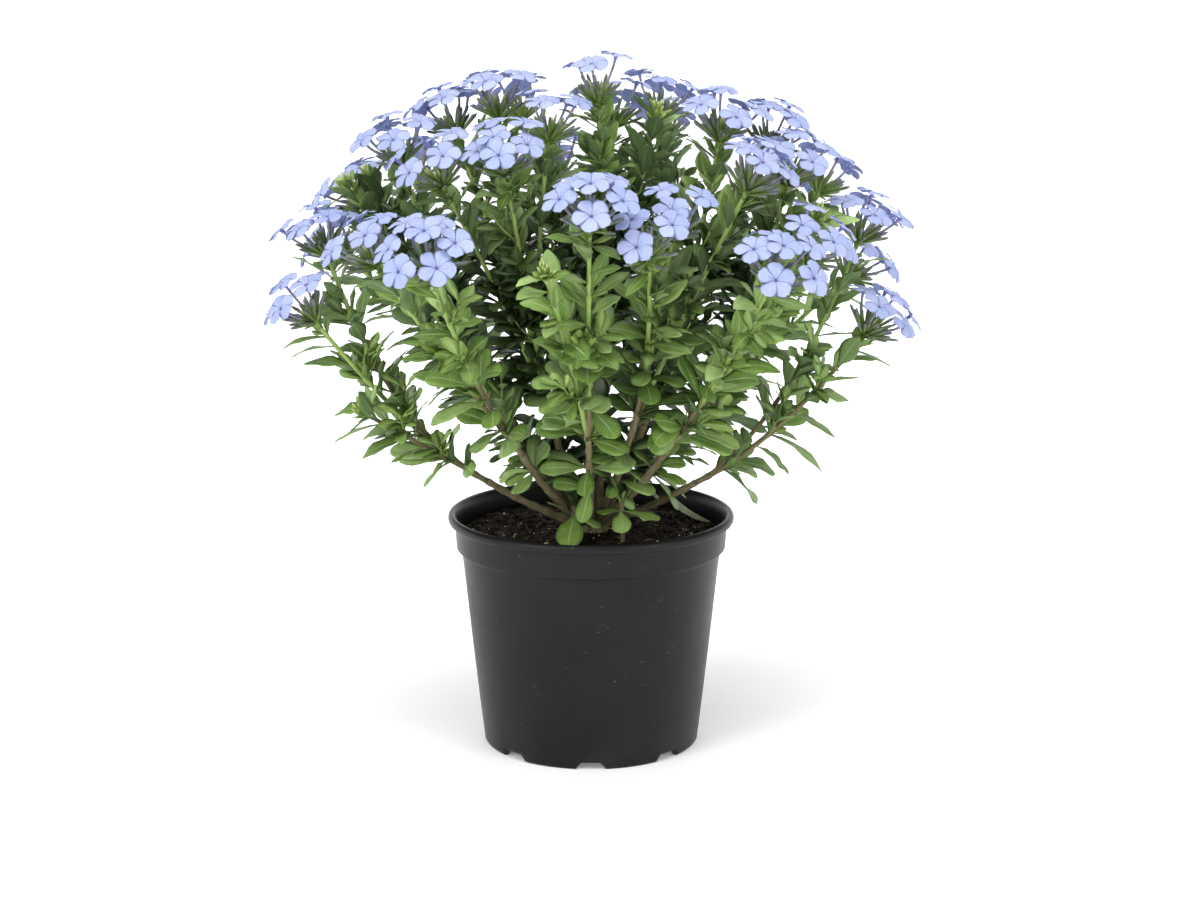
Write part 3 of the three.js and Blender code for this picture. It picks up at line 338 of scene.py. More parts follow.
def leaf_look(name, underside):
    """A leaf's face: mottled green, a pale midrib, faint side veins, a thin pale edge and painted
    shade deep in the crown.
    """
    look = Look(name, specular=0.25 if underside else 0.45)
    across, along, tone, fresh = map(look.value, VALUES)
    side = look.math("ABSOLUTE", across)
    if underside:
        dark, mid, light = (78, 104, 62), (104, 131, 84), (128, 152, 106)
        young, vein = (142, 168, 96), (158, 176, 132)
    else:
        dark, mid, light = (46, 82, 20), (120, 154, 68), (172, 200, 130)
        young, vein = (152, 184, 86), (182, 204, 144)
    patches = look.noise(160, 4)
    mottle = tone * 0.8 + patches * 0.55
    green = look.mix(mottle.spread(0.15, 0.65), dark, mid)
    green = look.mix(mottle.spread(0.6, 1.15), green, light)
    green = look.mix(fresh, green, young)
    veins = look.math("SINE", along * 62 - side * 13).spread(0.72, 1.0) * side.spread(0.98, 0.7)
    green = look.mix(veins * 0.2, green, vein)
    rib = (side / along.spread(0.0, 1.0, 0.13, 0.04)).spread(1.2, 0.45)
    green = look.mix(rib * 0.85, green, vein)
    green = look.mix(side.spread(0.94, 1.0) * 0.5, green, vein)
    tired = look.noise(55, 3).spread(0.6, 0.78) * tone.spread(0.82, 0.98)
    green = look.mix(tired * 0.5, green, (134, 124, 52))
    # Painted shade: leaves deep in the crown turn towards a deep green, standing in for the shadow
    # inside the crown.
    green = look.mix(painted_shade_share(look), green, (22, 44, 7))
    look.colour(green)
    look.roughness(patches.spread(0.3, 0.7, *((0.5, 0.66) if underside else (0.34, 0.5))))
    look.bump(veins * -0.5 + rib * -1.0 + look.noise(900, 2) * 0.7, 0.35, 0.0004)
    look.let_through(0.2, look.mix(0.5, green, (132, 184, 40)))
    return look.material


def stem_look():
    """A stem: striped green when young, grey-brown and cracked lengthwise where it is woody."""
    look = Look("stem", specular=0.35)
    angle, distance, tone, wood = map(look.value, VALUES)
    turn = angle * (2 * math.pi)
    lengthwise = look.vector(look.math("COSINE", turn), look.math("SINE", turn), distance * 0.035)
    streaks = look.noise(3.2, 4, lengthwise, 0.6)
    patches = look.noise(120, 4)
    green = look.mix(streaks.spread(0.35, 0.65), (124, 150, 74), (156, 182, 106))
    green = look.mix(patches.spread(0.5, 0.75, 0, 0.5), green, (128, 138, 74))
    bark = look.mix(streaks.spread(0.38, 0.62), (84, 76, 50), (142, 132, 98))
    bark = look.mix(patches.spread(0.45, 0.75, 0, 0.6), bark, (118, 110, 82))
    bark = look.mix(tone * 0.4, bark, (96, 92, 66))
    share = (wood + (patches - 0.5) * 0.7).spread(0.3, 0.7)
    look.colour(look.mix(share, green, bark))
    look.roughness(share.spread(0, 1, 0.5, 0.85))
    look.bump(streaks + look.noise(700, 3) * 0.5, 0.5, 0.0006)
    return look.material


def petal_look(name, underside):
    """A petal: pale periwinkle, with a thin darker line down its middle and faint veins."""
    look = Look(name, roughness=0.55, specular=0.25)
    across, along, tone, _ = map(look.value, VALUES)
    # Painted shade: the underside's blues are a little deeper and more saturated than the top's,
    # standing in for the shade on the petal's back.
    pale = (178, 188, 231) if underside else (185, 195, 225)
    deep = (160, 172, 224) if underside else (168, 180, 217)
    shade = tone * 0.7 + look.noise(170, 3) * 0.5
    blue = look.mix(shade.spread(0.2, 0.95), pale, deep)
    blue = look.mix(along.spread(0.8, 1.0, 0, 0.25), blue, (195, 203, 229))
    fan = look.math("SINE", across * along.spread(0, 1, 15.0, 24.0))
    veins = fan.spread(0.7, 1.0) * along.spread(0.95, 0.3)
    blue = look.mix(veins * 0.16, blue, (140, 152, 220))
    line = look.math("ABSOLUTE", across).spread(0.09, 0.03) * along.spread(0.6, 0.2)
    blue = look.mix(line * 0.55, blue, (96, 100, 160))
    blue = look.mix(along.spread(0.09, 0.0, 0, 0.5), blue, (96, 92, 150))
    look.colour(blue)
    look.bump(line * -0.8 + veins * -0.3 + look.noise(420, 3) * 0.8, 0.4, 0.0004)
    look.let_through(0.32, look.mix(0.4, blue, (178, 188, 242)))
    return look.material


def tube_look():
    """A flower's calyx and tube: green and a little mauve at the foot, grey blue to the throat."""
    look = Look("flower_tube", roughness=0.6, specular=0.3)
    angle, along, tone, _ = map(look.value, VALUES)
    ribs = look.math("SINE", angle * (10 * math.pi))
    calyx = look.mix(ribs.spread(-0.2, 0.9), (104, 116, 78), (136, 156, 98))
    calyx = look.mix(tone * 0.4, calyx, (104, 98, 100))
    tube = look.mix(look.noise(260, 3).spread(0.35, 0.65), (116, 116, 126), (146, 146, 164))
    tube = look.mix(along.spread(0.75, 1.0), tube, (142, 146, 216))
    look.colour(look.mix(along.spread(0.38, 0.46), calyx, tube))
    look.bump(ribs + look.noise(900, 2), 0.3, 0.0003)
    look.let_through(0.12)
    return look.material


def bud_look():
    """A bud in its ribbed calyx: yellow green with a cream tip when fresh is 1, grey green at 0."""
    look = Look("flower_bud", roughness=0.55, specular=0.3)
    angle, along, tone, fresh = map(look.value, VALUES)
    ribs = look.math("SINE", angle * (10 * math.pi))
    ridge = ribs.spread(-0.3, 0.9)
    dusk = look.mix(ridge, (92, 106, 76), (132, 144, 110))
    dusk = look.mix(tone * 0.45, dusk, (112, 116, 114))
    old = look.mix(along.spread(0.5, 0.9), look.mix(ridge, (104, 128, 66), (140, 164, 96)), dusk)
    body = look.mix(fresh, old, look.mix(ridge, (108, 134, 52), (158, 184, 92)))
    old_tip = look.mix(tone, (96, 106, 82), (126, 130, 134))
    tip = look.mix(fresh, old_tip, look.mix(tone, (208, 214, 152), (180, 196, 126)))
    look.colour(look.mix(along.spread(0.6, 0.85), body, tip))
    look.bump(ribs + look.noise(900, 2), 0.3, 0.0003)
    look.let_through(0.1)
    return look.material


def throat_look():
    look = Look("flower_throat", roughness=0.6, specular=0.3)
    look.colour(look.mix(look.noise(700, 2), (62, 48, 96), (96, 82, 140)))
    return look.material


def pot_look():
    """Satin black plastic: fine moulded grain, faint rub marks, a few specks of dust and soil."""
    look = Look("pot_plastic", specular=0.2)
    x, y, height = look.axes()
    rubs = look.noise(420, 4, look.vector(x * 0.25, y * 0.25, height), 0.65)
    cloud = look.noise(14, 4, rough=0.6)
    black = look.mix(cloud.spread(0.35, 0.7), (13, 13, 14), (20, 20, 22))
    grime = height.spread(0.030, 0.002) * cloud.spread(0.42, 0.7)
    black = look.mix(grime * 0.15, black, (70, 64, 56))
    specks = look.cells(260).spread(0.12, 0.05) * look.noise(60, 2).spread(0.6, 0.68)
    black = look.mix(specks * 0.55, black, (150, 140, 124))
    look.colour(look.mix(rubs.spread(0.66, 0.74) * 0.16, black, (120, 120, 120)))
    look.roughness(cloud.spread(0.3, 0.75, 0.33, 0.45))
    look.bump(look.noise(1600, 2) + look.noise(90, 3) * 0.8 + specks * 2.0, 0.12, 0.0004)
    return look.material


def soil_look():
    """Moist dark compost: near black, with brown grains."""
    look = Look("soil", specular=0.25)
    grains = look.noise(520, 5, rough=0.7)
    clods = look.noise(90, 4, rough=0.6)
    dark = look.mix(grains.spread(0.3, 0.7), (12, 9, 7), (34, 25, 18))
    dark = look.mix(clods.spread(0.5, 0.8, 0, 0.45), dark, (46, 34, 24))
    dark = look.mix(look.value("tone") * 0.2, dark, (70, 52, 36))
    specks = look.cells(900).spread(0.16, 0.08) * look.noise(240, 2).spread(0.62, 0.7)
    look.colour(look.mix(specks * 0.7, dark, (158, 146, 122)))
    look.roughness(clods.spread(0.3, 0.8, 0.75, 0.95))
    look.bump(grains + clods * 1.5, 0.8, 0.0012)
    return look.material


def litter_look():
    """Bits on the soil: fresh 0 is tan fibre and bark, fresh 1 is white perlite."""
    look = Look("soil_litter", roughness=0.85, specular=0.2)
    tone = look.value("tone")
    grain = look.noise(600, 4, rough=0.65)
    tan = look.mix(tone * tone, (50, 37, 26), (166, 146, 108))
    tan = look.mix(grain.spread(0.4, 0.7, 0, 0.5), tan, (70, 54, 38))
    white = look.mix(grain.spread(0.35, 0.7), (222, 218, 208), (176, 170, 158))
    look.colour(look.mix(look.value("fresh"), tan, white))
    look.bump(grain, 0.6, 0.0006)
    return look.material


def dry_leaf_look():
    """A fallen leaf: pale grey green, with brown stains and a pale midrib."""
    look = Look("dry_leaf", roughness=0.75, specular=0.25)
    side = look.math("ABSOLUTE", look.value("across"))
    stains = look.noise(140, 4, rough=0.6)
    base = look.mix(stains.spread(0.35, 0.6), (176, 186, 156), (150, 162, 122))
    base = look.mix(stains.spread(0.62, 0.78, 0, 0.6), base, (150, 126, 88))
    base = look.mix(side.spread(0.9, 1.0, 0, 0.4), base, (142, 118, 82))
    base = look.mix(side.spread(0.1, 0.03) * 0.7, base, (188, 190, 160))
    veins = look.math("SINE", look.value("along") * 62 - side * 13).spread(0.75, 1.0)
    look.colour(look.mix(veins * 0.25, base, (180, 180, 150)))
    look.bump(veins * 0.6 + look.noise(500, 4) * 0.9, 0.6, 0.0005)
    look.let_through(0.15)
    return look.material


LEAF_FACES = leaf_look("leaf_top", False), leaf_look("leaf_under", True)
PETAL_FACES = petal_look("petal_top", False), petal_look("petal_under", True)
DRY_LEAF_FACES = (dry_leaf_look(),) * 2
STEM = stem_look()
TUBE = tube_look()
BUD = bud_look()
THROAT = throat_look()
POT = pot_look()
SOIL = soil_look()
LITTER = litter_look()


# --- Surfaces --------------------------------------------------------------------------------

class Skin:
    """The points, faces and point values of one piece, in millimetres until it is made."""

    def __init__(self):
        self.points = []
        self.corners = []
        self.sizes = []
        self.slots = []
        self.values = {name: [] for name in VALUES}
        self.materials = []
        self.count = 0

    def add(self, points, faces, **values):
        """Adds points, and faces as (corner table, material) with one row of corners a face."""
        points = np.asarray(points, dtype=float).reshape(-1, 3)
        for table, material in faces:
            if material not in self.materials:
                self.materials.append(material)
            self.corners.append((table + self.count).ravel())
            self.sizes.append(np.full(len(table), table.shape[1]))
            self.slots.append(np.full(len(table), self.materials.index(material)))
        for name in VALUES:
            value = np.broadcast_to(values.get(name, 0.0), len(points))
            self.values[name].append(value.astype(float))
        self.points.append(points)
        self.count += len(points)

    def piece(self, name, slot, *replaced):
        mesh = bpy.data.meshes.new(name)
        mesh.vertices.add(self.count)
        mesh.vertices.foreach_set("co", (np.concatenate(self.points) * MM).ravel())
        corners = np.concatenate(self.corners)
        sizes = np.concatenate(self.sizes)
        mesh.loops.add(len(corners))
        mesh.loops.foreach_set("vertex_index", corners)
        mesh.polygons.add(len(sizes))
        mesh.polygons.foreach_set("loop_start", np.concatenate([[0], np.cumsum(sizes)[:-1]]))
        mesh.polygons.foreach_set("material_index", np.concatenate(self.slots))
        mesh.polygons.foreach_set("use_smooth", np.ones(len(sizes), dtype=bool))
        for material in self.materials:
            mesh.materials.append(material)
        for value, parts in self.values.items():
            layer = mesh.attributes.new(value, "FLOAT", "POINT")
            layer.data.foreach_set("value", np.concatenate(parts))
        mesh.update(calc_edges=True)
        mesh.validate()
        piece = bpy.data.objects.new(name, mesh)
        scene.collection.objects.link(piece)
        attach(piece, "root")
        if replaced:
            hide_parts(*replaced)


def add_sheet(skin, top, under, materials, **values):
    """A thin closed sheet from two grids of points, rows from heel to tip and columns across."""
    rows, columns = top.shape[0] - 1, top.shape[1] - 1
    # The two faces share their side edges and the far end.
    a = np.arange((rows + 1) * (columns + 1)).reshape(rows + 1, columns + 1)
    b = a.copy()
    b[:rows, 1:columns] = a.size + np.arange(rows * (columns - 1)).reshape(rows, columns - 1)
    front = np.stack([a[:-1, :-1], a[1:, :-1], a[1:, 1:], a[:-1, 1:]], -1).reshape(-1, 4)
    back = np.stack([b[:-1, :-1], b[:-1, 1:], b[1:, 1:], b[1:, :-1]], -1).reshape(-1, 4)
    heel = np.concatenate([a[0], b[0, -2:0:-1]])[None]
    both = {}
    for name, value in values.items():
        grid = np.broadcast_to(value, top.shape[:2])
        both[name] = np.concatenate([grid.ravel(), grid[:rows, 1:columns].ravel()])
    points = np.concatenate([top.reshape(-1, 3), under[:rows, 1:columns].reshape(-1, 3)])
    skin.add(points, [(front, materials[0]), (back, materials[1]), (heel, materials[1])], **both)


def rings_faces(rows, columns):
    """Corner tables of the wall that joins rings of points, and of the caps at its two ends."""
    grid = np.arange(rows * columns).reshape(rows, columns)
    after = np.roll(grid, -1, axis=1)
    wall = np.stack([grid[:-1], after[:-1], after[1:], grid[1:]], -1).reshape(-1, 4)
    return wall, np.stack([grid[0][::-1], grid[-1]])


def add_tube(skin, spots, radii, sides, material, start=None, **values):
    """A closed tube along spots. radii may hold one radius a spot, or one for every point."""
    spots = np.asarray(spots, dtype=float)
    ahead = np.gradient(spots, axis=0)
    ahead /= np.linalg.norm(ahead, axis=1)[:, None]
    if start is None:
        firsts = [unit(np.cross(ahead[0], [0.31, 0.17, 0.94]))]
    else:
        firsts = [unit(start - ahead[0] * np.dot(start, ahead[0]))]
    for direction in ahead[1:]:
        firsts.append(unit(firsts[-1] - direction * np.dot(firsts[-1], direction)))
    firsts = np.array(firsts)
    angles = 2 * math.pi * np.arange(sides) / sides
    radii = np.asarray(radii, dtype=float)
    radii = radii[:, None] if radii.ndim == 1 else radii
    ring = (firsts[:, None] * np.cos(angles)[None, :, None]
            + np.cross(ahead, firsts)[:, None] * np.sin(angles)[None, :, None])
    shape = len(spots), sides
    points = spots[:, None] + ring * np.broadcast_to(radii, shape)[..., None]
    values["across"] = np.abs(angles / math.pi - 1)[None]
    for name, value in values.items():
        column = np.asarray(value)[:, None] if np.ndim(value) == 1 else value
        values[name] = np.broadcast_to(column, shape).ravel()
    wall, caps = rings_faces(*shape)
    skin.add(points, [(wall, material), (caps, material)], **values)


# --- The plant's paths -----------------------------------------------------------------------

class Bow:
    """A curve from one point to another, bent towards a third, measured along its length."""

    def __init__(self, start, control, end):
        self.ends = [np.array(place, dtype=float) for place in (start, control, end)]
        self.steps = np.linspace(0, 1, 201)
        chords = np.linalg.norm(np.diff(self.at(self.steps), axis=0), axis=1)
        self.reached = np.concatenate([[0], np.cumsum(chords)])
        self.length = self.reached[-1]

    def at(self, t):
        start, control, end = self.ends
        t = np.asarray(t, dtype=float)[..., None]
        return (1 - t) ** 2 * start + 2 * (1 - t) * t * control + t ** 2 * end

    def point(self, distance):
        return self.at(np.interp(distance, self.reached, self.steps))

    def tangent(self, distance):
        t = float(np.interp(distance, self.reached, self.steps))
        return unit(self.at(min(t + 0.0001, 1)) - self.at(max(t - 0.0001, 0)))


class Shoot:
    """One green stem of a branch."""

    def __init__(self, curve, sideways, order, flowers=0, springs_at=0, key=0):
        self.curve, self.sideways, self.order = curve, sideways, order
        self.flowers, self.springs_at, self.key = flowers, springs_at, key

    def frame(self, distance):
        along = self.curve.tangent(distance)
        first = unit(self.sideways - along * np.dot(along, self.sideways))
        return self.curve.point(distance), along, first, np.cross(along, first)

    def radius(self, distance):
        root = GREEN_ROOT_RADIUS - (0 if self.order == 0 else SIDE_SHOOT_LESS)
        return root + (GREEN_TIP_RADIUS - root) * distance / self.curve.length

    def out(self, distance, degrees):
        _, _, first, second = self.frame(distance)
        angle = math.radians(degrees)
        return first * math.cos(angle) + second * math.sin(angle)

    def roll_of(self, direction, distance):
        _, _, first, second = self.frame(distance)
        return math.degrees(math.atan2(np.dot(direction, second), np.dot(direction, first)))


def paths_of(index, fork, tips):
    """A branch's woody stem and its shoots."""
    azimuth = fork[0]
    root = at_azimuth(azimuth, 4, SOIL_LEVEL + 3)
    end = at_azimuth(*fork)
    wood = Bow(root, root + (end - root) * [0.5, 0.5, 0.36], end)
    sideways = at_azimuth(azimuth + 90, 1, 0)
    shoots = []
    for order, (*place, flowers) in enumerate(tips):
        tip = at_azimuth(*place)
        springs_at = 0 if order == 0 else 3 + order * 6
        start = end if order == 0 else shoots[0].curve.point(springs_at)
        heading = wood.tangent(wood.length) if order == 0 else shoots[0].curve.tangent(springs_at)
        span = np.linalg.norm(tip - start)
        if order > 0:
            heading = unit(heading + 0.8 * unit(tip - start))
        control = start + heading * span * 0.42 - UP * span * 0.03
        curve = Bow(start, control, tip)
        shoots.append(Shoot(curve, sideways, order, flowers, springs_at, index * 4 + order))
    shoots[0].fork_zone = shoots[-1].springs_at + 12
    return wood, shoots


PATHS = [paths_of(index, fork, tips) for index, (fork, tips) in enumerate(BRANCHES)]


SAME_PLACE = 0.00005  # metres


class Corners:
    """The corners of a CAD node, to tell which of several places a leaf or a flower has taken."""

    def __init__(self, name):
        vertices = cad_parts[name].data.vertices
        self.tree = KDTree(len(vertices))
        for index, vertex in enumerate(vertices):
            self.tree.insert(vertex.co, index)
        self.tree.balance()

    def has(self, point):
        return self.tree.find(Vector(point * MM))[2] < SAME_PLACE


# --- Leaves ----------------------------------------------------------------------------------

FINE_ROWS = np.array([0, 0.08, 0.18, 0.3, 0.43, 0.56, 0.69, 0.81, 0.91, 0.97, 1])
FINE_COLUMNS = np.array([-1, -0.55, 0, 0.55, 1])
SMALL_ROWS = np.array([0, 0.14, 0.3, 0.48, 0.66, 0.82, 0.94, 1])
SMALL_COLUMNS = np.array([-1, 0, 1])
# Half widths of a broad and of a slender leaf, as shares of the widest, at parts of its length.
OUTLINE_PARTS = [0, 0.05, 0.12, 0.2, 0.3, 0.42, 0.54, 0.66, 0.77, 0.87, 0.94, 0.98, 1]
BROAD_SHARES = [0.11, 0.12, 0.17, 0.3, 0.52, 0.77, 0.94, 1.02, 1.01, 0.88, 0.66, 0.4, 0.1]
SLENDER_SHARES = [0.14, 0.18, 0.29, 0.48, 0.74, 0.95, 1.02, 0.97, 0.81, 0.55, 0.31, 0.15, 0.04]


class Leaf:
    """Where a leaf grows, and its size, as the plant's plan gives them."""

    def __init__(self, foot, along, out, length, half_width, pitch, yaw, sag, broad):
        self.foot, self.along, self.out = foot, along, out
        self.length, self.half_width = length, half_width
        self.pitch, self.yaw, self.sag, self.broad = pitch, yaw, sag, broad
        self.settle(0, 0, 1)

    def settle(self, pitch, yaw, scale):
        turned = turned_about(self.out, self.along, self.yaw + yaw)
        angle = math.radians(self.pitch + pitch)
        self.across = unit(np.cross(self.along, turned))
        self.heading = self.along * math.cos(angle) + turned * math.sin(angle)
        self.reach = self.length * scale
        self.breadth = self.half_width * (0.85 if scale < 0.8 else 1)
        self.breadth *= 1.04 if self.broad else 1.2

    def rib(self, part):
        part = np.asarray(part, dtype=float)[..., None]
        return self.foot + self.heading * self.reach * part - UP * self.reach * self.sag * part ** 2


def settled(leaf, corners):
    """Whether the plan has room for a leaf, which then takes the place that the plan gave it."""
    for way in LEAF_WAYS:
        leaf.settle(*way)
        if corners.has(leaf.rib(1)):
            return True
    return False


def add_leaf(skin, leaf, draw, fresh=0.0, fine=True, thickness=0.5):
    """A leaf's blade: folded a little along its midrib, with a wavy edge and a keel beneath."""
    rows = FINE_ROWS if fine else SMALL_ROWS
    columns = FINE_COLUMNS if fine else SMALL_COLUMNS
    shares = BROAD_SHARES if leaf.broad else SLENDER_SHARES
    width = np.interp(rows, OUTLINE_PARTS, shares) * leaf.breadth
    width = np.maximum(width, np.where(rows < 0.2, 0.9 if fine else 0.5, 0.0))
    centre = leaf.rib(rows)
    ahead = np.gradient(centre, axis=0)
    upper = np.cross(ahead, leaf.across)
    upper /= np.linalg.norm(upper, axis=1)[:, None]
    c, p, w = columns[None, :], rows[:, None], width[:, None]
    fold = 0.06 + 0.22 * draw(31)
    lift = w * fold * np.abs(c) ** 1.25
    lift = lift - w * (0.06 + 0.2 * draw(32)) * c ** 2 * smooth(0.2, 0.7, p)
    waves = np.sin(2 * math.pi * ((1.4 + 1.3 * draw(33)) * p + draw(34)) + 1.9 * np.sign(c))
    lift = lift + w * (0.05 + 0.1 * draw(35)) * waves * c ** 2
    lift = lift - leaf.reach * (0.1 * draw(36) - 0.02) * smooth(0.6, 1, p) ** 2
    lift = lift + w * 0.16 * (draw(37) - 0.5) * c
    lean = leaf.breadth * 0.5 * (draw(38) - 0.5) * np.sin(math.pi * p * 0.9) * (1 - 0.4 * np.abs(c))
    top = centre[:, None] + leaf.across * (c * w + lean)[..., None]
    top = top + upper[:, None] * lift[..., None]
    keel = 0.45 * thickness * np.exp(-(c / 0.12) ** 2)
    depth = thickness * (0.35 + 0.65 * (1 - np.abs(c) ** 3)) + keel
    depth = np.minimum(depth, 0.25 + w * 0.5) * np.ones_like(w)
    under = top - upper[:, None] * depth[..., None]
    add_sheet(skin, top, under, LEAF_FACES, across=c, along=p,
              tone=0.15 + 0.7 * draw(39), fresh=fresh)


def add_small_leaf(skin, draw, foot, along, out, length, half_width, pitch, sag, broad=False,
                   fresh=0.0, fine=False, thickness=0.35):
    leaf = Leaf(foot, along, out, length, half_width, pitch, 0, sag, broad)
    add_leaf(skin, leaf, draw, fresh, fine, thickness)


def leaf_nodes(shoot):
    start = shoot.fork_zone if shoot.order == 0 else 17
    end = shoot.curve.length - (7 if shoot.flowers else 5)
    count = max(2, math.floor((end - start) / LEAF_NODE_SPACING + 0.5) + 1)
    return [start + (end - start) * i / (count - 1) for i in range(count)]


def planned_leaf(shoot, node, side, distance, roll):
    draw = draws(shoot.key, node * 3 + side)
    centre, along = shoot.frame(distance)[:2]
    out = shoot.out(distance, roll + 120 * side + 60)
    up = distance / shoot.curve.length
    length = LEAF_LENGTH_LOW + (LEAF_LENGTH_HIGH - LEAF_LENGTH_LOW) * up
    length *= 0.85 + 0.3 * draw(1)
    half_width = LEAF_HALF_WIDTH_LOW + (LEAF_HALF_WIDTH_HIGH - LEAF_HALF_WIDTH_LOW) * up
    half_width *= 0.85 + 0.3 * draw(2)
    pitch = 44 + 22 * draw(3) + (6 if up > 0.9 else 0)
    sag = 0.1 + 0.2 * draw(4) * (1 - up * 0.6)
    foot = centre + out * shoot.radius(distance) * 0.5
    return Leaf(foot, along, out, length, half_width, pitch, 0, sag, up < BROAD_LEAF_ZONE), draw


def bands_of(shoot, others):
    """The forks and leaf nodes along a shoot, each with the roll of the stem's corners there."""
    bands = []
    for other in others:
        curve = other.curve
        direction = curve.point(0.3 * curve.length) - curve.point(0)
        bands.append((other.springs_at, -1, shoot.roll_of(direction, other.springs_at) - 60))
    for node, distance in enumerate(leaf_nodes(shoot)):
        bands.append((distance, node, 60 * (node % 2) + 40 * chance(shoot.key, node, 21)))
    return bands


def leaves_of(shoot, others, parent_along, corners):
    """Every large leaf that the plan has on a shoot."""
    bands = bands_of(shoot, others)
    roll = bands[0][2] if parent_along is None else shoot.roll_of(-parent_along, 8)
    found = []
    for distance, node, own_roll in bands:
        roll = own_roll + math.floor((roll - own_roll) / 120 + 0.5) * 120
        if node < 0:
            continue
        whorl = chance(shoot.key, node, 22) < WHORL_SHARE
        for side in range(3):
            if side != node % 3 or whorl:
                leaf, draw = planned_leaf(shoot, node, side, distance, roll)
                if settled(leaf, corners):
                    found.append((leaf, draw, distance, node, side))
    return found


# --- Stems -----------------------------------------------------------------------------------

def add_green_stem(skin, shoot, swellings):
    """A green stem with a knot at every leaf node, brown where it has turned woody."""
    length = shoot.curve.length
    distances = np.linspace(0, length, max(8, int(length / 3)))
    spots = shoot.curve.point(distances)
    radii = np.array([shoot.radius(d) for d in distances]) * GREEN_SLIMMER
    for place in swellings:
        radii = radii * (1 + 0.26 * np.exp(-((distances - place) / 2.0) ** 2))
    limit = 226 + 50 * chance(shoot.key, 3, 41)
    wood = smooth(limit + 26, limit - 26, spots[:, 2])
    bends = np.array([chance(shoot.key, i, 42) - 0.5 for i in range(len(distances))])
    radii = radii * (1 + 0.05 * bends)
    add_tube(skin, spots, radii, 8, STEM,
             along=distances, tone=chance(shoot.key, 1, 43), fresh=wood)


def add_bark_stem(skin, wood, index):
    """A woody stem: knotty, and a little bent between its knots."""
    distances = np.linspace(0, wood.length - 0.3, int(wood.length / 2.2))
    spots = wood.point(distances)
    radii = WOOD_ROOT_RADIUS + (WOOD_TIP_RADIUS - WOOD_ROOT_RADIUS) * distances / wood.length
    radii = radii * WOOD_SLIMMER
    knots = [12 + 12 * k + 5 * chance(index, k, 51) for k in range(9)]
    for place in knots:
        radii = radii * (1 + 0.2 * np.exp(-((distances - place) / 2.4) ** 2))
    radii = radii * (1 + 0.35 * np.exp(-distances / 5))
    rough = np.array([[chance(index * 100 + i, k, 52) - 0.5 for k in range(10)]
                      for i in range(len(distances))])
    radii = radii[:, None] * (1 + 0.09 * rough)
    add_tube(skin, spots, radii, 10, STEM, along=distances, tone=chance(index, 1, 53), fresh=1.0)
    return knots


def add_spindle(skin, foot, heading, length, radius, tone, curve=0.0, fresh=1.0):
    """A bud: a slim body that swells, pointed when fresh is 1 and blunt at 0."""
    parts = np.array([0, 0.2, 0.5, 0.72, 0.9, 1])
    pointed = np.array([0.5, 0.85, 1, 0.8, 0.42, 0.12])
    blunt = np.array([0.6, 0.84, 0.92, 1, 0.96, 0.45])
    shares = pointed * fresh + blunt * (1 - fresh)
    side = unit(np.cross(heading, [0.2, 0.5, 0.8]))
    spots = foot + heading * (length * parts)[:, None]
    spots = spots + side * (curve * length * parts ** 2)[:, None]
    add_tube(skin, spots, radius * shares, 6, BUD, along=parts, tone=tone, fresh=fresh)


def add_bud_tip(skin, shoot):
    """A cluster of young buds at the end of a shoot that isn't in flower yet."""
    for i in range(TIP_BUDS):
        draw = draws(shoot.key, i)
        distance = shoot.curve.length - 7 + 7 * i / (TIP_BUDS - 1)
        centre, along = shoot.frame(distance)[:2]
        tilt = math.radians(56 - 3.2 * i + 12 * (draw(61) - 0.5))
        out = shoot.out(distance, GOLDEN_TURN * i + 20 * draw(62))
        heading = unit(along * math.cos(tilt) + out * math.sin(tilt))
        add_spindle(skin, centre + out * 0.8, heading, 6.5 + 4 * draw(63), 1.1, draw(64))


# --- Leafy branches --------------------------------------------------------------------------

def add_axil_leaves(skin, shoot, distance, node, side, out):
    """The tuft of young leaves between a leaf's foot and the stem."""
    centre, along = shoot.frame(distance)[:2]
    for i in range(3):
        draw = draws(shoot.key * 7 + i, node * 3 + side)
        if draw(71) < 0.3:
            continue
        turned = turned_about(out, along, -48 + 48 * i + 24 * (draw(72) - 0.5))
        foot = centre + turned * shoot.radius(distance) * 0.5 + along * 1.2
        length = 7 + 10 * draw(73)
        add_small_leaf(skin, draw, foot, along, turned, length, length * (0.15 + 0.06 * draw(74)),
                       22 + 34 * draw(75), 0.05, fresh=0.45 + 0.5 * draw(76))


def is_open(shoot):
    """Whether a shoot's stem shows: the outer ones in front, and the low ones at the side."""
    x, y, z = shoot.curve.point(shoot.curve.length * 0.5)
    return y < -60 or (math.hypot(x, y) > 95 and z < 270)


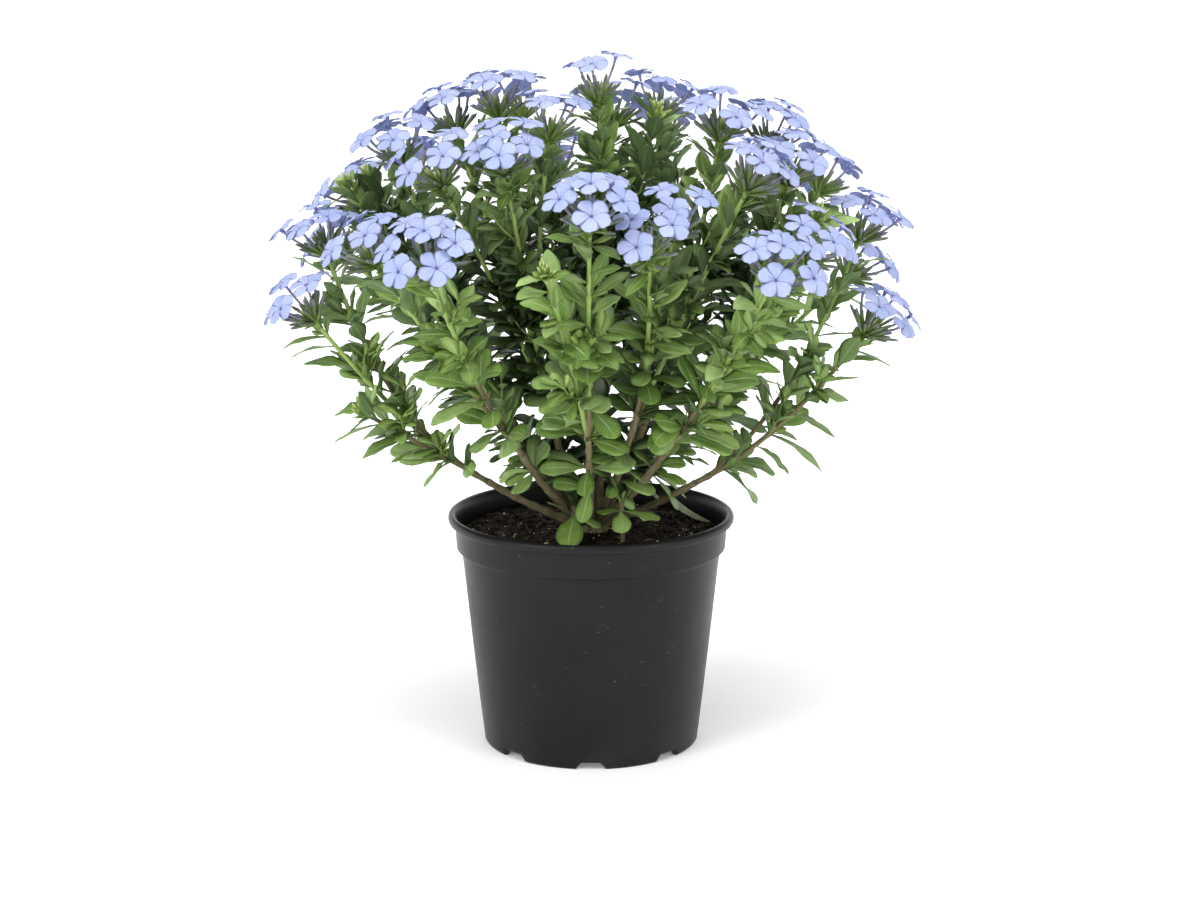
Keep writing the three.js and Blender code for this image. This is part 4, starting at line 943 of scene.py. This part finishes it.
def add_side_twig(skin, shoot, distance, node, side, out):
    """A short leafy twig in the angle between a leaf and the stem."""
    draw = draws(shoot.key * 17 + node, side)
    up = distance / shoot.curve.length
    left_out = (0.85 if up < 0.5 else 0.55) if is_open(shoot) else (0.6 if up < 0.4 else 0.25)
    if draw(151) < left_out or up > 0.86:
        return
    centre, along = shoot.frame(distance)[:2]
    turned = turned_about(out, along, 50 * (draw(152) - 0.5))
    size = (17 + 17 * draw(153)) * (1 - 0.35 * up)
    pitch = math.radians(24 + 22 * draw(154))
    heading = along * math.cos(pitch) + turned * math.sin(pitch)
    foot = centre + turned * shoot.radius(distance) * 0.4
    curve = Bow(foot, foot + heading * size * 0.5, foot + heading * size * 0.9 + UP * size * 0.22)
    parts = np.linspace(0, 1, 8)
    add_tube(skin, curve.point(parts * curve.length), 1.05 - 0.5 * parts, 6, STEM,
             along=parts * size, tone=draw(155))
    count = 6 + int(4 * draw(156))
    for i in range(count):
        own = draws(shoot.key * 19 + node * 3 + side, i)
        place = curve.length * (0.22 + 0.78 * i / (count - 1))
        ahead = curve.tangent(place)
        first = unit(np.cross(ahead, [0.4, -0.2, 0.7]))
        aside = turned_about(first, ahead, GOLDEN_TURN * i + 40 * own(157))
        length = (21 - 7 * i / count) * (0.75 + 0.5 * own(158))
        add_small_leaf(skin, own, curve.point(place) + aside * 0.5, ahead, aside, length,
                       length * (0.2 - 0.07 * up + 0.05 * own(159)), 26 + 38 * own(160),
                       0.04 + 0.14 * own(161), up < 0.4, fresh=0.15 + 0.35 * own(162))


def add_between_leaves(skin, shoot, distances):
    """The smaller leaves along the stem: loose and broad below, close and slender above."""
    length = shoot.curve.length
    low_step, high_step = (19, 6.4) if is_open(shoot) else (11, 4.3)
    places = [10 + low_step * i for i in range(int((length * 0.6 - 10) / low_step))]
    places += [length * 0.4 + high_step * i for i in range(int((length * 0.6 - 5) / high_step))]
    for i, place in enumerate(places):
        draw = draws(shoot.key * 5, i)
        distance = min(place + 3 * draw(80), length - 3)
        near = min(abs(distance - other) for other in distances)
        up = distance / length
        if near < 2.2 or draw(81) < 0.1:
            continue
        centre, along = shoot.frame(distance)[:2]
        turned = shoot.out(distance, GOLDEN_TURN * i + 50 * draw(82))
        size = (31 + 3 * up) * (0.62 + 0.5 * draw(83)) * (1 - 0.35 * smooth(0.93, 1, up))
        foot = centre + turned * shoot.radius(distance) * 0.5
        add_small_leaf(skin, draw, foot, along, turned, size,
                       size * (0.24 - 0.115 * up + 0.04 * draw(84)),
                       62 - 26 * up + (46 - 22 * up) * (draw(85) - 0.5),
                       0.05 + (0.32 - 0.18 * up) * draw(86), up < 0.45,
                       fresh=0.4 * up * draw(87), fine=size > 24, thickness=0.4)


def make_branch(index):
    name = f"leafy_branch_{index + 1:02d}"
    corners = Corners(name)
    shoots = PATHS[index][1]
    skin = Skin()
    for shoot in shoots:
        others = shoots[1:] if shoot.order == 0 else []
        parent_along = None if shoot.order == 0 else shoots[0].curve.tangent(shoot.springs_at)
        distances = leaf_nodes(shoot)
        add_green_stem(skin, shoot, distances + [other.springs_at for other in others])
        for leaf, draw, distance, node, side in leaves_of(shoot, others, parent_along, corners):
            fresh = 0.25 * smooth(0.55, 1, distance / shoot.curve.length) * draw(40)
            add_leaf(skin, leaf, draw, fresh)
            add_axil_leaves(skin, shoot, distance, node, side, leaf.out)
            add_side_twig(skin, shoot, distance, node, side, leaf.out)
        add_between_leaves(skin, shoot, distances)
        if not shoot.flowers:
            add_bud_tip(skin, shoot)
    skin.piece(f"foliage_{index + 1:02d}", "leaf_green", name)


# --- Flower heads ----------------------------------------------------------------------------

class Head:
    """A flower head's middle and axis, and places by azimuth, reach and height from them."""

    def __init__(self, shoot, number, turn):
        self.axis = shoot.curve.tangent(shoot.curve.length)
        self.centre = shoot.curve.point(shoot.curve.length) + self.axis * CORE_RISE
        self.number = number
        self.turn = turn
        self.phase = 9 * turn + 72 * chance(number, 0, 16)
        across = np.cross(UP, self.axis)
        self.across = unit(across) if np.linalg.norm(across) >= 0.05 else np.array([1.0, 0, 0])
        self.over = np.cross(self.axis, self.across)

    def place(self, azimuth, reach, height):
        angle = math.radians(azimuth + self.phase)
        return (self.centre + self.across * reach * math.cos(angle)
                + self.over * reach * math.sin(angle) + self.axis * height)


class Flower:
    """One open flower: its middle, the way it faces, and the spin of its petals."""

    def __init__(self, head, tilt, azimuth, order, way):
        d_tilt, d_azimuth, scale = way
        lean = math.radians(tilt + d_tilt)
        stagger = 1 + RING_STAGGER * (1 if order % 2 == 0 else -1)
        reach = HEAD_RADIUS * scale * stagger * (0.97 + 0.06 * chance(head.number, order, 14))
        azimuth = azimuth + 9 * head.turn + d_azimuth
        self.middle = head.place(azimuth, reach * math.sin(lean), reach * math.cos(lean))
        self.direction = unit(self.middle - head.centre)
        self.facing = unit(self.direction + HEAD_FLATNESS * head.axis)
        self.spin = 72 * chance(head.number, order, 15)
        self.across = unit(np.cross([0.31, 0.17, 0.94], self.facing))
        self.over = np.cross(self.facing, self.across)
        self.order = order

    def place(self, angle, reach, height):
        angle = np.radians(angle)
        flat = self.across * np.cos(angle)[..., None] + self.over * np.sin(angle)[..., None]
        lift = self.facing * np.asarray(height)[..., None]
        return self.middle + flat * np.asarray(reach)[..., None] + lift


def directions_of(count, number):
    ring = count - (1 if count >= 6 else 0)
    found = []
    for i in range(ring):
        tilt = RING_TILTS[ring] + 6 * (chance(number, i, 11) - 0.5)
        found.append((tilt, 360 / ring * i + 10 * (chance(number, i, 12) - 0.5)))
    if count >= 6:
        found.append((9, 140 * chance(number, 9, 13)))
    return found


def planned_head(shoot, number, corners):
    """The head's flowers as the plan has settled them."""
    best = None
    for turn in range(8):
        head = Head(shoot, number, turn)
        flowers = []
        for order, (tilt, azimuth) in enumerate(directions_of(shoot.flowers, number)):
            for way in FLOWER_WAYS:
                flower = Flower(head, tilt, azimuth, order, way)
                angle = np.array(flower.spin - PETAL_HALF_ANGLE)
                if corners.has(flower.place(angle, COROLLA_RADIUS, -0.9)):
                    flowers.append(flower)
                    break
        if best is None or len(flowers) > len(best[1]):
            best = head, flowers
    return best


PETAL_ROWS = np.array([0, 0.1, 0.24, 0.42, 0.6, 0.76, 0.88, 0.96, 1])
PETAL_COLUMNS = np.array([-1, -0.72, -0.38, 0, 0.38, 0.72, 1])
PETAL_WIDTHS = np.array([0.6, 1.1, 2.3, 3.85, 4.8, 5.05, 4.6, 3.5, 2.5])


def add_petals(skin, flower, number):
    """Five broad petals, each over one neighbour and under the other, with wavy notched ends."""
    t, c = PETAL_ROWS[:, None], PETAL_COLUMNS[None, :]
    for petal in range(5):
        draw = draws(number * 11 + flower.order, petal)
        turn = flower.spin + 72 * petal + 3 * (draw(91) - 0.5)
        reach = COROLLA_RADIUS * (0.98 + 0.09 * draw(92))
        notch = 0.02 + 0.06 * draw(93)
        end = reach * (1 - 0.12 * np.abs(c) ** 2.2 - notch * np.exp(-(c / 0.22) ** 2))
        end = end + 0.3 * np.sin(7 * c + 6 * draw(94))
        outward = 0.7 + (end - 0.7) * t
        aside = c * PETAL_WIDTHS[:, None] * (0.96 + 0.1 * draw(95))
        aside = aside + 0.5 * (draw(96) - 0.5) * t ** 2
        rise = -1.7 + 1.9 * smooth(0, 0.3, t) - (0.6 + 1.3 * draw(97)) * smooth(0.45, 1, t)
        rise = rise + 0.55 * c * smooth(0.12, 0.5, t)
        rise = rise - 0.35 * c ** 2 * smooth(0.2, 0.6, t) * (1.6 * draw(98) - 0.3)
        rise = rise + 0.45 * t ** 2 * np.sin(4.2 * c + 6.28 * draw(99)) * (0.4 + 0.8 * draw(100))
        rise = rise - 0.22 * np.exp(-(c / 0.16) ** 2) * smooth(0.1, 0.4, t)
        angle = turn + np.degrees(np.arctan2(aside, outward))
        top = flower.place(angle, np.hypot(outward, aside), rise)
        under = top - flower.facing * (0.28 * (1 - 0.5 * np.abs(c)))[..., None]
        add_sheet(skin, top, under, PETAL_FACES, across=c, along=t, tone=0.15 + 0.7 * draw(101))


def add_flower_tube(skin, head, flower, number):
    """The slim tube that carries a flower, in a ribbed calyx."""
    rises = np.dot(flower.direction, head.axis)
    aim = unit(flower.direction - (0 if rises > 0.85 else 0.45) * head.axis)
    foot = head.centre + aim * CORE_RADIUS * 0.7
    throat = flower.middle - flower.facing * 1.7
    span = np.linalg.norm(throat - foot)
    curve = Bow(foot, throat - flower.facing * span * 0.42, throat)
    tone = chance(number, flower.order, 111)
    parts = np.linspace(0, 1, 11)
    spots = curve.point(parts * curve.length)
    radii = np.interp(parts, [0, 0.3, 0.6, 0.86, 0.95, 1], [0.8, 0.8, 0.78, 0.85, 1.05, 1.5])
    add_tube(skin, spots, radii, 7, TUBE, along=np.maximum(parts, 0.47), tone=tone)
    calyx = np.linspace(0, 0.4, 7)
    ridge = 1 + 0.16 * np.cos(5 * 2 * math.pi * np.arange(10) / 10)
    shape = np.interp(calyx, [0, 0.06, 0.2, 0.36, 0.4], [0.9, 1.35, 1.5, 1.35, 1.05])
    add_tube(skin, curve.point(calyx * curve.length), shape[:, None] * ridge[None], 10, TUBE,
             along=calyx * 0.9, tone=tone)
    disc = curve.point(curve.length) + flower.facing * np.linspace(-0.2, 0.15, 3)[:, None]
    add_tube(skin, disc, [0.9, 0.95, 0.5], 8, THROAT)


def add_head_middle(skin, head, number, flowers):
    """The head's short axis, its unopened buds and the small leaves below them."""
    parts = np.array([-CORE_RISE + 0.3, -3.4, -1.5, 0.5, 2.4, 3.6])
    spots = head.centre + head.axis * parts[:, None]
    add_tube(skin, spots, [1.35, 1.8, 2.5, 2.7, 2.1, 0.8], 8, BUD, along=0.2, tone=0.3, fresh=0.7)
    count = FULL_HEAD_BUDS if flowers >= FULL_HEAD else SMALL_HEAD_BUDS
    for i in range(count):
        draw = draws(number, i)
        tilt = 4 + 62 * math.sqrt(i / count) + 9 * (draw(121) - 0.5)
        azimuth = GOLDEN_TURN * i + 24 * draw(122)
        lean = math.radians(tilt)
        heading = unit(head.place(azimuth, math.sin(lean), math.cos(lean)) - head.centre)
        young = smooth(38, 8, tilt + 26 * (draw(126) - 0.5))
        size = 19 - 7 * young + 6 * (draw(123) - 0.5)
        foot = head.centre + heading * 1.4 - head.axis * 2.2 * lean
        add_spindle(skin, foot, heading, size, 1.08 + 0.1 * young, draw(124),
                    0.14 * (draw(125) - 0.5), fresh=young)
    for i in range(5):
        draw = draws(number * 13 + i, 4)
        out = unit(head.place(72 * i + 30 * draw(126), 1, 0) - head.centre)
        foot = head.centre - head.axis * 2.2 + out * 1.8
        add_small_leaf(skin, draw, foot, head.axis, out, 6 + 5 * draw(127),
                       1.2 + 0.7 * draw(128), 52 + 30 * draw(129), 0.08, fresh=0.5)


def make_head(shoot, number):
    name = f"flower_head_{number:02d}"
    head, flowers = planned_head(shoot, number, Corners(name))
    skin = Skin()
    add_head_middle(skin, head, number, shoot.flowers)
    for flower in flowers:
        add_flower_tube(skin, head, flower, number)
        add_petals(skin, flower, number)
    skin.piece(f"flowers_{number:02d}", "petal_blue", name)


# --- Basal shoots and fallen leaf -------------------------------------------------------------

def make_basal_shoot(name, base, top, leaves):
    corners = Corners(name)
    foot = np.array([base[0], base[1], SOIL_LEVEL - 8.0])
    head = np.array(top, dtype=float)
    number = 300 + int(base[0])
    shoot = Shoot(Bow(foot, foot + (head - foot) * 0.5, head), np.array([1.0, 0, 0]), 1, key=number)
    length = shoot.curve.length
    skin = Skin()
    add_green_stem(skin, shoot, [length - 6, length - 1.5])
    left = list(leaves)
    for level, most, roll in ((length - 6, 3, 12), (length - 1.5, 2, 72)):
        centre, along = shoot.frame(level)[:2]
        free = [shoot.out(level, roll + 120 * k + 60) for k in range(3)]
        for _ in range(most):
            azimuth, elevation, size, half_width = left.pop(0)
            heading = at_azimuth(azimuth, 1, 0)
            best = max(range(len(free)), key=lambda k: np.dot(free[k], heading))
            out = free.pop(best)
            sideways = np.dot(along, np.cross(out, heading))
            turn = math.degrees(math.atan2(sideways, np.dot(out, heading)))
            leaf = Leaf(centre + out, along, out, size, half_width, 84 - elevation, turn,
                        0.08, True)
            draw = draws(number, azimuth)
            if not settled(leaf, corners):
                leaf.settle(-30, 0, 0.5)
            add_leaf(skin, leaf, draw, fresh=0.35 + 0.3 * draw(131))
    for i in range(5):
        draw = draws(number, i)
        out = shoot.out(length, 72 * i + 30 * draw(132))
        size = 8 + 6 * draw(133)
        add_small_leaf(skin, draw, head + out * 0.6, UP, out, size, size * 0.2,
                       18 + 26 * draw(134), 0.04, fresh=0.7)
    skin.piece(name.replace("basal_shoot", "young_shoot"), "leaf_green", name)


def make_fallen_leaf():
    """A dead leaf that leans from the stems to the edge of the soil, folded along its midrib."""
    start = np.array([48.5, 30, 165.5])
    end = np.array([81.5, 24, 141.9])
    along = unit(end - start)
    across = unit(np.cross(UP, along))
    upper = -np.cross(along, across)
    rows = np.array([0, 0.06, 0.14, 0.24, 0.36, 0.5, 0.64, 0.76, 0.86, 0.93, 0.98, 1])
    columns = np.array([-1, -0.75, -0.45, -0.18, 0, 0.18, 0.45, 0.75, 1])
    p = rows[:, None]
    c = columns[None, :]
    share = np.interp(p, [0, 0.1, 0.22, 0.5, 0.78, 0.9, 1], [0.06, 0.22, 0.6, 1, 0.8, 0.42, 0.03])
    centre = start + (end - start) * p + upper * 2.5 * np.sin(math.pi * p)
    crease = np.where(c < 0, 2.2, 1.6) * share * np.abs(c) ** 0.9
    crinkle = 0.35 * share * np.sin(9 * p + 3 * c) * c ** 2
    crinkle = crinkle + 0.3 * share * np.sin(19 * p) * np.abs(c)
    top = centre[:, None] + across * (c * share * 6.5)[..., None]
    top = top + upper * (crease + crinkle)[..., None]
    under = top - upper * (0.45 * (1 - 0.5 * np.abs(c)))[..., None]
    skin = Skin()
    add_sheet(skin, top[:, ::-1], under[:, ::-1], DRY_LEAF_FACES, across=c, along=p)
    skin.piece("dry_leaf", "leaf_dry", "fallen_leaf")


# --- Woody stems and crown --------------------------------------------------------------------

def make_wood():
    skin = Skin()
    for index, (wood, _) in enumerate(PATHS):
        knots = add_bark_stem(skin, wood, index)
        for k, place in enumerate(knots):
            spot = wood.point(place)
            inside = math.hypot(spot[0], spot[1]) < INSIDE_REACH
            lowest = WOOD_LEAF_HEIGHT_INSIDE if inside else WOOD_LEAF_HEIGHT
            if place > wood.length - 4 or spot[2] < lowest:
                continue
            along = wood.tangent(place)
            for side in range(5):
                draw = draws(index * 9 + k, side)
                if draw(141) < 0.2:
                    continue
                base = unit(np.cross(along, [0.3, -0.8, 0.2]))
                out = turned_about(base, along, 72 * side + 60 * draw(142))
                length = 17 + 16 * draw(143)
                add_small_leaf(skin, draw, spot + out * 1.6, along, out, length,
                               length * (0.2 + 0.05 * draw(146)), 44 + 44 * draw(144),
                               0.3 * draw(145), True, fresh=0.1, fine=length > 20, thickness=0.45)
    heights = np.array([127, 138, 142, 145, 148, 150.5, 152.3, CROWN_TOP])
    reaches = CROWN_RADIUS * np.array([1, 1, 1, 0.96, 0.86, 0.66, 0.38, 0.1])
    turns = 2 * math.pi * np.arange(28) / 28
    lumps = 1 + 0.05 * np.sin(5 * turns) + 0.04 * np.sin(11 * turns + 1)
    radii = reaches[:, None] * np.minimum(lumps[None], 1.04)
    spots = np.stack([np.zeros(8), np.zeros(8), heights], -1)
    add_tube(skin, spots, radii, 28, STEM, start=np.array([1.0, 0, 0]),
             along=heights, tone=0.7, fresh=1.0)
    skin.piece("bark_stems", "stem_wood", "woody_stems")


# --- Soil --------------------------------------------------------------------------------------

SOIL_RINGS = [(0, 144.0), (26, 143.5), (48, 143.0), (72, 143.0), (86.7, 141.5)]
SOIL_COLUMNS = 16


def soil_height(reach, angle):
    """The height of the soil's top, with the same rises and dips as its plan."""
    rings = np.array(SOIL_RINGS)
    level = np.interp(reach, rings[:, 0], rings[:, 1])
    row = np.interp(reach, rings[1:, 0], [7, 6, 5, 4])
    column = (angle / (2 * math.pi) * SOIL_COLUMNS) % SOIL_COLUMNS
    low = math.floor(row)
    left = math.floor(column)
    total = 0.0
    for r, r_share in ((low, low + 1 - row), (low + 1, row - low)):
        for k, k_share in ((left, left + 1 - column), (left + 1, column - left)):
            bump = (chance(r, k % SOIL_COLUMNS, 5) - 0.5) * 1.6 if r >= 5 else 0.0
            total += r_share * k_share * bump
    return level + total


def soil_top(x, y):
    """The height of the scene's soil: the plan's, with clods on it that fade out by the wall."""
    reach = math.hypot(x, y)
    clods = noise.noise(Vector((x * 0.22, y * 0.22, 3.1))) * 0.9
    clods += noise.noise(Vector((x * 0.6, y * 0.6, 9.4))) * 0.5
    return soil_height(reach, math.atan2(y, x)) + clods * (1 - smooth(80, 86, reach)) - 0.2


def make_soil():
    columns = 144
    angles = 2 * math.pi * np.arange(columns) / columns

    def ring(reach, height=None):
        spots = [(reach * math.cos(a), reach * math.sin(a)) for a in angles]
        return [(x, y, soil_top(x, y) if height is None else height) for x, y in spots]

    rings = [ring(*outer) for outer in ((70.0, 8.9), (83.0, 130.0), (86.4, 134.4), (86.6, 140.5))]
    rings += [ring(reach) for reach in (86.6, 85.4, *np.linspace(1.5, 84, 54)[::-1])]
    wall, caps = rings_faces(len(rings), columns)
    skin = Skin()
    skin.add(rings, [(wall, SOIL), (caps, SOIL)], tone=0.1)
    skin.piece("compost", "soil", "soil")


def icosahedron():
    golden = (1 + math.sqrt(5)) / 2
    points = np.array([
        (-1, golden, 0), (1, golden, 0), (-1, -golden, 0), (1, -golden, 0), (0, -1, golden),
        (0, 1, golden), (0, -1, -golden), (0, 1, -golden), (golden, 0, -1), (golden, 0, 1),
        (-golden, 0, -1), (-golden, 0, 1)])
    faces = np.array([
        (0, 11, 5), (0, 5, 1), (0, 1, 7), (0, 7, 10), (0, 10, 11), (1, 5, 9), (5, 11, 4),
        (11, 10, 2), (10, 7, 6), (7, 1, 8), (3, 9, 4), (3, 4, 2), (3, 2, 6), (3, 6, 8),
        (3, 8, 9), (4, 9, 5), (2, 4, 11), (6, 2, 10), (8, 6, 7), (9, 8, 1)])
    return points / np.linalg.norm(points[0]), faces


def rounder(points, faces):
    """The same ball with every face cut in four."""
    points = list(points)
    middles = {}

    def middle(a, b):
        key = min(a, b), max(a, b)
        if key not in middles:
            middles[key] = len(points)
            points.append(unit(points[a] + points[b]))
        return middles[key]

    cut = []
    for a, b, c in faces:
        ab, bc, ca = middle(a, b), middle(b, c), middle(c, a)
        cut += [(a, ab, ca), (b, bc, ab), (c, ca, bc), (ab, bc, ca)]
    return np.array(points), np.array(cut)


def make_litter():
    """Crumbs, perlite, fibres and twigs that lie on the soil."""
    rng = np.random.default_rng(7021)
    skin = Skin()
    coarse = icosahedron()
    ball = rounder(*coarse)

    def spot(limit=84.0, clear=12.0):
        while True:
            reach = limit * math.sqrt(rng.random())
            if reach > clear:
                angle = 2 * math.pi * rng.random()
                x, y = reach * math.cos(angle), reach * math.sin(angle)
                return np.array([x, y, soil_top(x, y)])

    def lump(centre, size, shape, material, tone, fresh):
        points, faces = shape
        jitter = 1 + 0.28 * (rng.random(len(points)) - 0.5)
        stretch = size * (0.75 + 0.5 * rng.random(3))
        points = centre + points * jitter[:, None] * stretch
        skin.add(points, [(faces, material)], tone=tone, fresh=fresh)

    # How many, the least size, what is added to it at most, the draw's power, how far each lump
    # lies above the soil, its shape, its material and how fresh it is.
    for count, least, more, power, rise, shape, material, fresh in (
            (420, 0.9, 1.5, 2, 0.3, ball, SOIL, 0), (1100, 0.4, 0.6, 1, 0.4, coarse, SOIL, 0),
            (80, 0.35, 0.6, 2, 0.6, ball, LITTER, 1), (110, 0.6, 0.9, 2, 0.4, coarse, LITTER, 0)):
        for _ in range(count):
            size = least + more * rng.random() ** power
            lump(spot() + UP * size * rise, size, shape, material, rng.random(), fresh)

    def strand(middle, length, radius, sides, tone, rise):
        angle = 2 * math.pi * rng.random()
        bend = 0.5 * length * (rng.random() - 0.5)
        parts = np.linspace(-0.5, 0.5, 8)
        cosine, sine = math.cos(angle), math.sin(angle)
        x = middle[0] + cosine * length * parts - sine * bend * (4 * parts ** 2 - 1)
        y = middle[1] + sine * length * parts + cosine * bend * (4 * parts ** 2 - 1)
        limit = np.minimum(1, 84.5 / np.hypot(x, y))
        x, y = x * limit, y * limit
        z = [soil_top(a, b) + radius * 0.6 + rise * (p + 0.5) for a, b, p in zip(x, y, parts)]
        radii = radius * (1 + 0.3 * (rng.random(8) - 0.5))
        add_tube(skin, np.stack([x, y, z], -1), radii, sides, LITTER, tone=tone)

    for _ in range(150):  # fibres
        strand(spot(), 4 + 12 * rng.random(), 0.1 + 0.13 * rng.random(), 5, rng.random(),
               2.4 * rng.random() ** 2)
    for _ in range(9):  # twigs
        strand(spot(74), 12 + 16 * rng.random(), 0.45 + 0.35 * rng.random(), 7, 0.0,
               3 * rng.random())
    skin.piece("soil_litter", "soil")


# --- Pot ---------------------------------------------------------------------------------------

def make_pot():
    """A thin moulded wall with a rolled rim, a stepped band, a raised floor and a notched foot."""
    # Radius and height, from the floor's underside round the foot and the rim to the floor's top.
    profile = [
        (30, FLOOR_UNDERSIDE), (60, FLOOR_UNDERSIDE), (66.2, FLOOR_UNDERSIDE),
        (66.8, FLOOR_UNDERSIDE - 0.4), (67.1, 5), (67.3, 1.2), (67.6, 0.3), (68.2, 0), (70.2, 0),
        (70.9, 0.15), (71.5, 0.6), (FOOT_RADIUS, FOOT_CHAMFER), (72.15, 3), (72.5, 6.6), (75.2, 30),
        (79, 65), (83, 103), (85.6, 127.5), (85.95, 130.2), (86.15, BODY_TOP_HEIGHT),
        (86.7, 131.7), (88, 132.3), (88.9, 132.6), (89.35, 133.1), (89.5, 134), (90, 142),
        (90.4, 148.6), (90.6, 149.3), (91.2, BAND_TOP_HEIGHT), (93.3, 149.9), (94.2, 150.5),
        (94.75, 151.4), (RIM_RADIUS, 152.6), (94.85, 153.9), (94.3, 155), (93.3, 155.75),
        (92.2, POT_HEIGHT), (91, 155.6), (90, 154.4), (89, 151.6), (88.2, 149.2), (87.8, 142),
        (87.3, 134.6), (86.6, 132.8), (84.6, 131), (83.8, 129.6), (80, 95), (75, 48),
        (70.8, FLOOR_TOP + 0.6), (70, FLOOR_TOP), (35, FLOOR_TOP),
    ]
    step = 360 / NOTCH_COUNT
    half, top = NOTCH_HALF_ANGLE_FOOT, NOTCH_HALF_ANGLE_TOP
    local = [-half, -half + 0.35, -top - 0.35, -top, -top + 0.5, -2.5, 0, 2.5, top - 0.5, top,
             top + 0.35, half - 0.35, half, 10.5, 13.5, 17, 20.5, 24, 27.5, 31, 34.5]
    angles = np.array([step * k + a for k in range(NOTCH_COUNT) for a in local])
    inside = (angles + step / 2) % step - step / 2
    lift = NOTCH_LIFT * np.clip((half - np.abs(inside)) / (half - top), 0, 1)
    across, over = np.cos(np.radians(angles)), np.sin(np.radians(angles))
    rings = []
    for reach, height in profile:
        share = np.interp(height, [2, 3, 5], [1, 0.55, 0])
        rings.append(np.stack([reach * across, reach * over, height + lift * share], -1))
    points = np.concatenate(rings + [[[0, 0, FLOOR_UNDERSIDE]], [[0, 0, FLOOR_TOP]]])
    count = len(angles)
    walls, _ = rings_faces(len(rings), count)
    first = np.arange(count)
    last = first + (len(rings) - 1) * count
    fans = np.concatenate([
        np.stack([np.roll(first, -1), first, np.full(count, len(points) - 2)], -1),
        np.stack([last, np.roll(last, -1), np.full(count, len(points) - 1)], -1),
    ])
    skin = Skin()
    skin.add(points, [(walls, POT), (fans, POT)])
    skin.piece("pot_shell", "pot_plastic", "pot")


# --- Put together ------------------------------------------------------------------------------

make_pot()
make_soil()
make_litter()
make_wood()
for basal_name, (basal_base, basal_top, basal_leaves) in BASAL_SHOOTS.items():
    make_basal_shoot(basal_name, basal_base, basal_top, basal_leaves)
make_fallen_leaf()
for branch_index in range(len(BRANCHES)):
    make_branch(branch_index)
head_number = 0
for _, shoots_here in PATHS:
    for flowering in shoots_here:
        if flowering.flowers:
            head_number += 1
            make_head(flowering, head_number)

# --- Floor, light and world --------------------------------------------------------------------

# Reach and height in metres: the floor rises far away, so that no edge of it shows.
FLOOR_RINGS = [(6, 0), (8, 0.15), (10, 0.7), (12, 1.9), (14, 4)]
FLOOR_COLUMNS = 64
floor_turns = [2 * math.pi * k / FLOOR_COLUMNS for k in range(FLOOR_COLUMNS)]
floor_points = [(reach * math.cos(turn), reach * math.sin(turn), rise)
                for reach, rise in FLOOR_RINGS for turn in floor_turns]
floor_wall, _ = rings_faces(len(FLOOR_RINGS), FLOOR_COLUMNS)
floor_faces = [tuple(range(FLOOR_COLUMNS))] + floor_wall[:, ::-1].tolist()
floor_mesh = bpy.data.meshes.new("floor")
floor_mesh.from_pydata(floor_points, [], floor_faces)
floor = bpy.data.objects.new("floor", floor_mesh)
scene.collection.objects.link(floor)
floor_look = Look("floor", roughness=0.7, specular=0.2)
floor_look.colour(floor_look.mix(floor_look.noise(3, 3), (244, 244, 245), (240, 240, 241)))
floor_look.shader.inputs["Emission Color"].default_value = (1, 1, 1, 1)
length_node = floor_look.node("ShaderNodeVectorMath", Vector=floor_look.place())
length_node.operation = "LENGTH"
apart = Field(floor_look, length_node.outputs["Value"])
glow = apart.spread(0.25, 1.1, 0.18, 0.76) + apart.spread(3.0, 6.0, 0.0, 0.34)
floor_look.put(floor_look.shader.inputs["Emission Strength"], glow)
floor_mesh.materials.append(floor_look.material)


def add_light(name, place, aim, size, energy):
    data = bpy.data.lights.new(name, "AREA")
    data.shape = "RECTANGLE"
    data.size, data.size_y = size
    data.energy = energy
    light = bpy.data.objects.new(name, data)
    light.location = place
    light.rotation_euler = (Vector(aim) - Vector(place)).to_track_quat("-Z", "Y").to_euler()
    scene.collection.objects.link(light)


add_light("overhead", (0.0, -0.5, 2.4), (0, 0, 0.25), (2.2, 2.2), 58)
add_light("front_left", (-1.7, -1.7, 1.6), (0, 0, 0.25), (1.2, 1.6), 37)
add_light("front_right", (1.9, -1.5, 1.3), (0, 0, 0.2), (1.0, 1.6), 20)
add_light("back", (0.3, 2.4, 1.8), (0, 0, 0.3), (2.0, 1.4), 16)

world = bpy.data.worlds.new("world")
world.use_nodes = True
sky = world.node_tree.nodes["Background"]
sky.inputs["Color"].default_value = (1, 1, 1, 1)
sky.inputs["Strength"].default_value = 0.26
scene.world = world
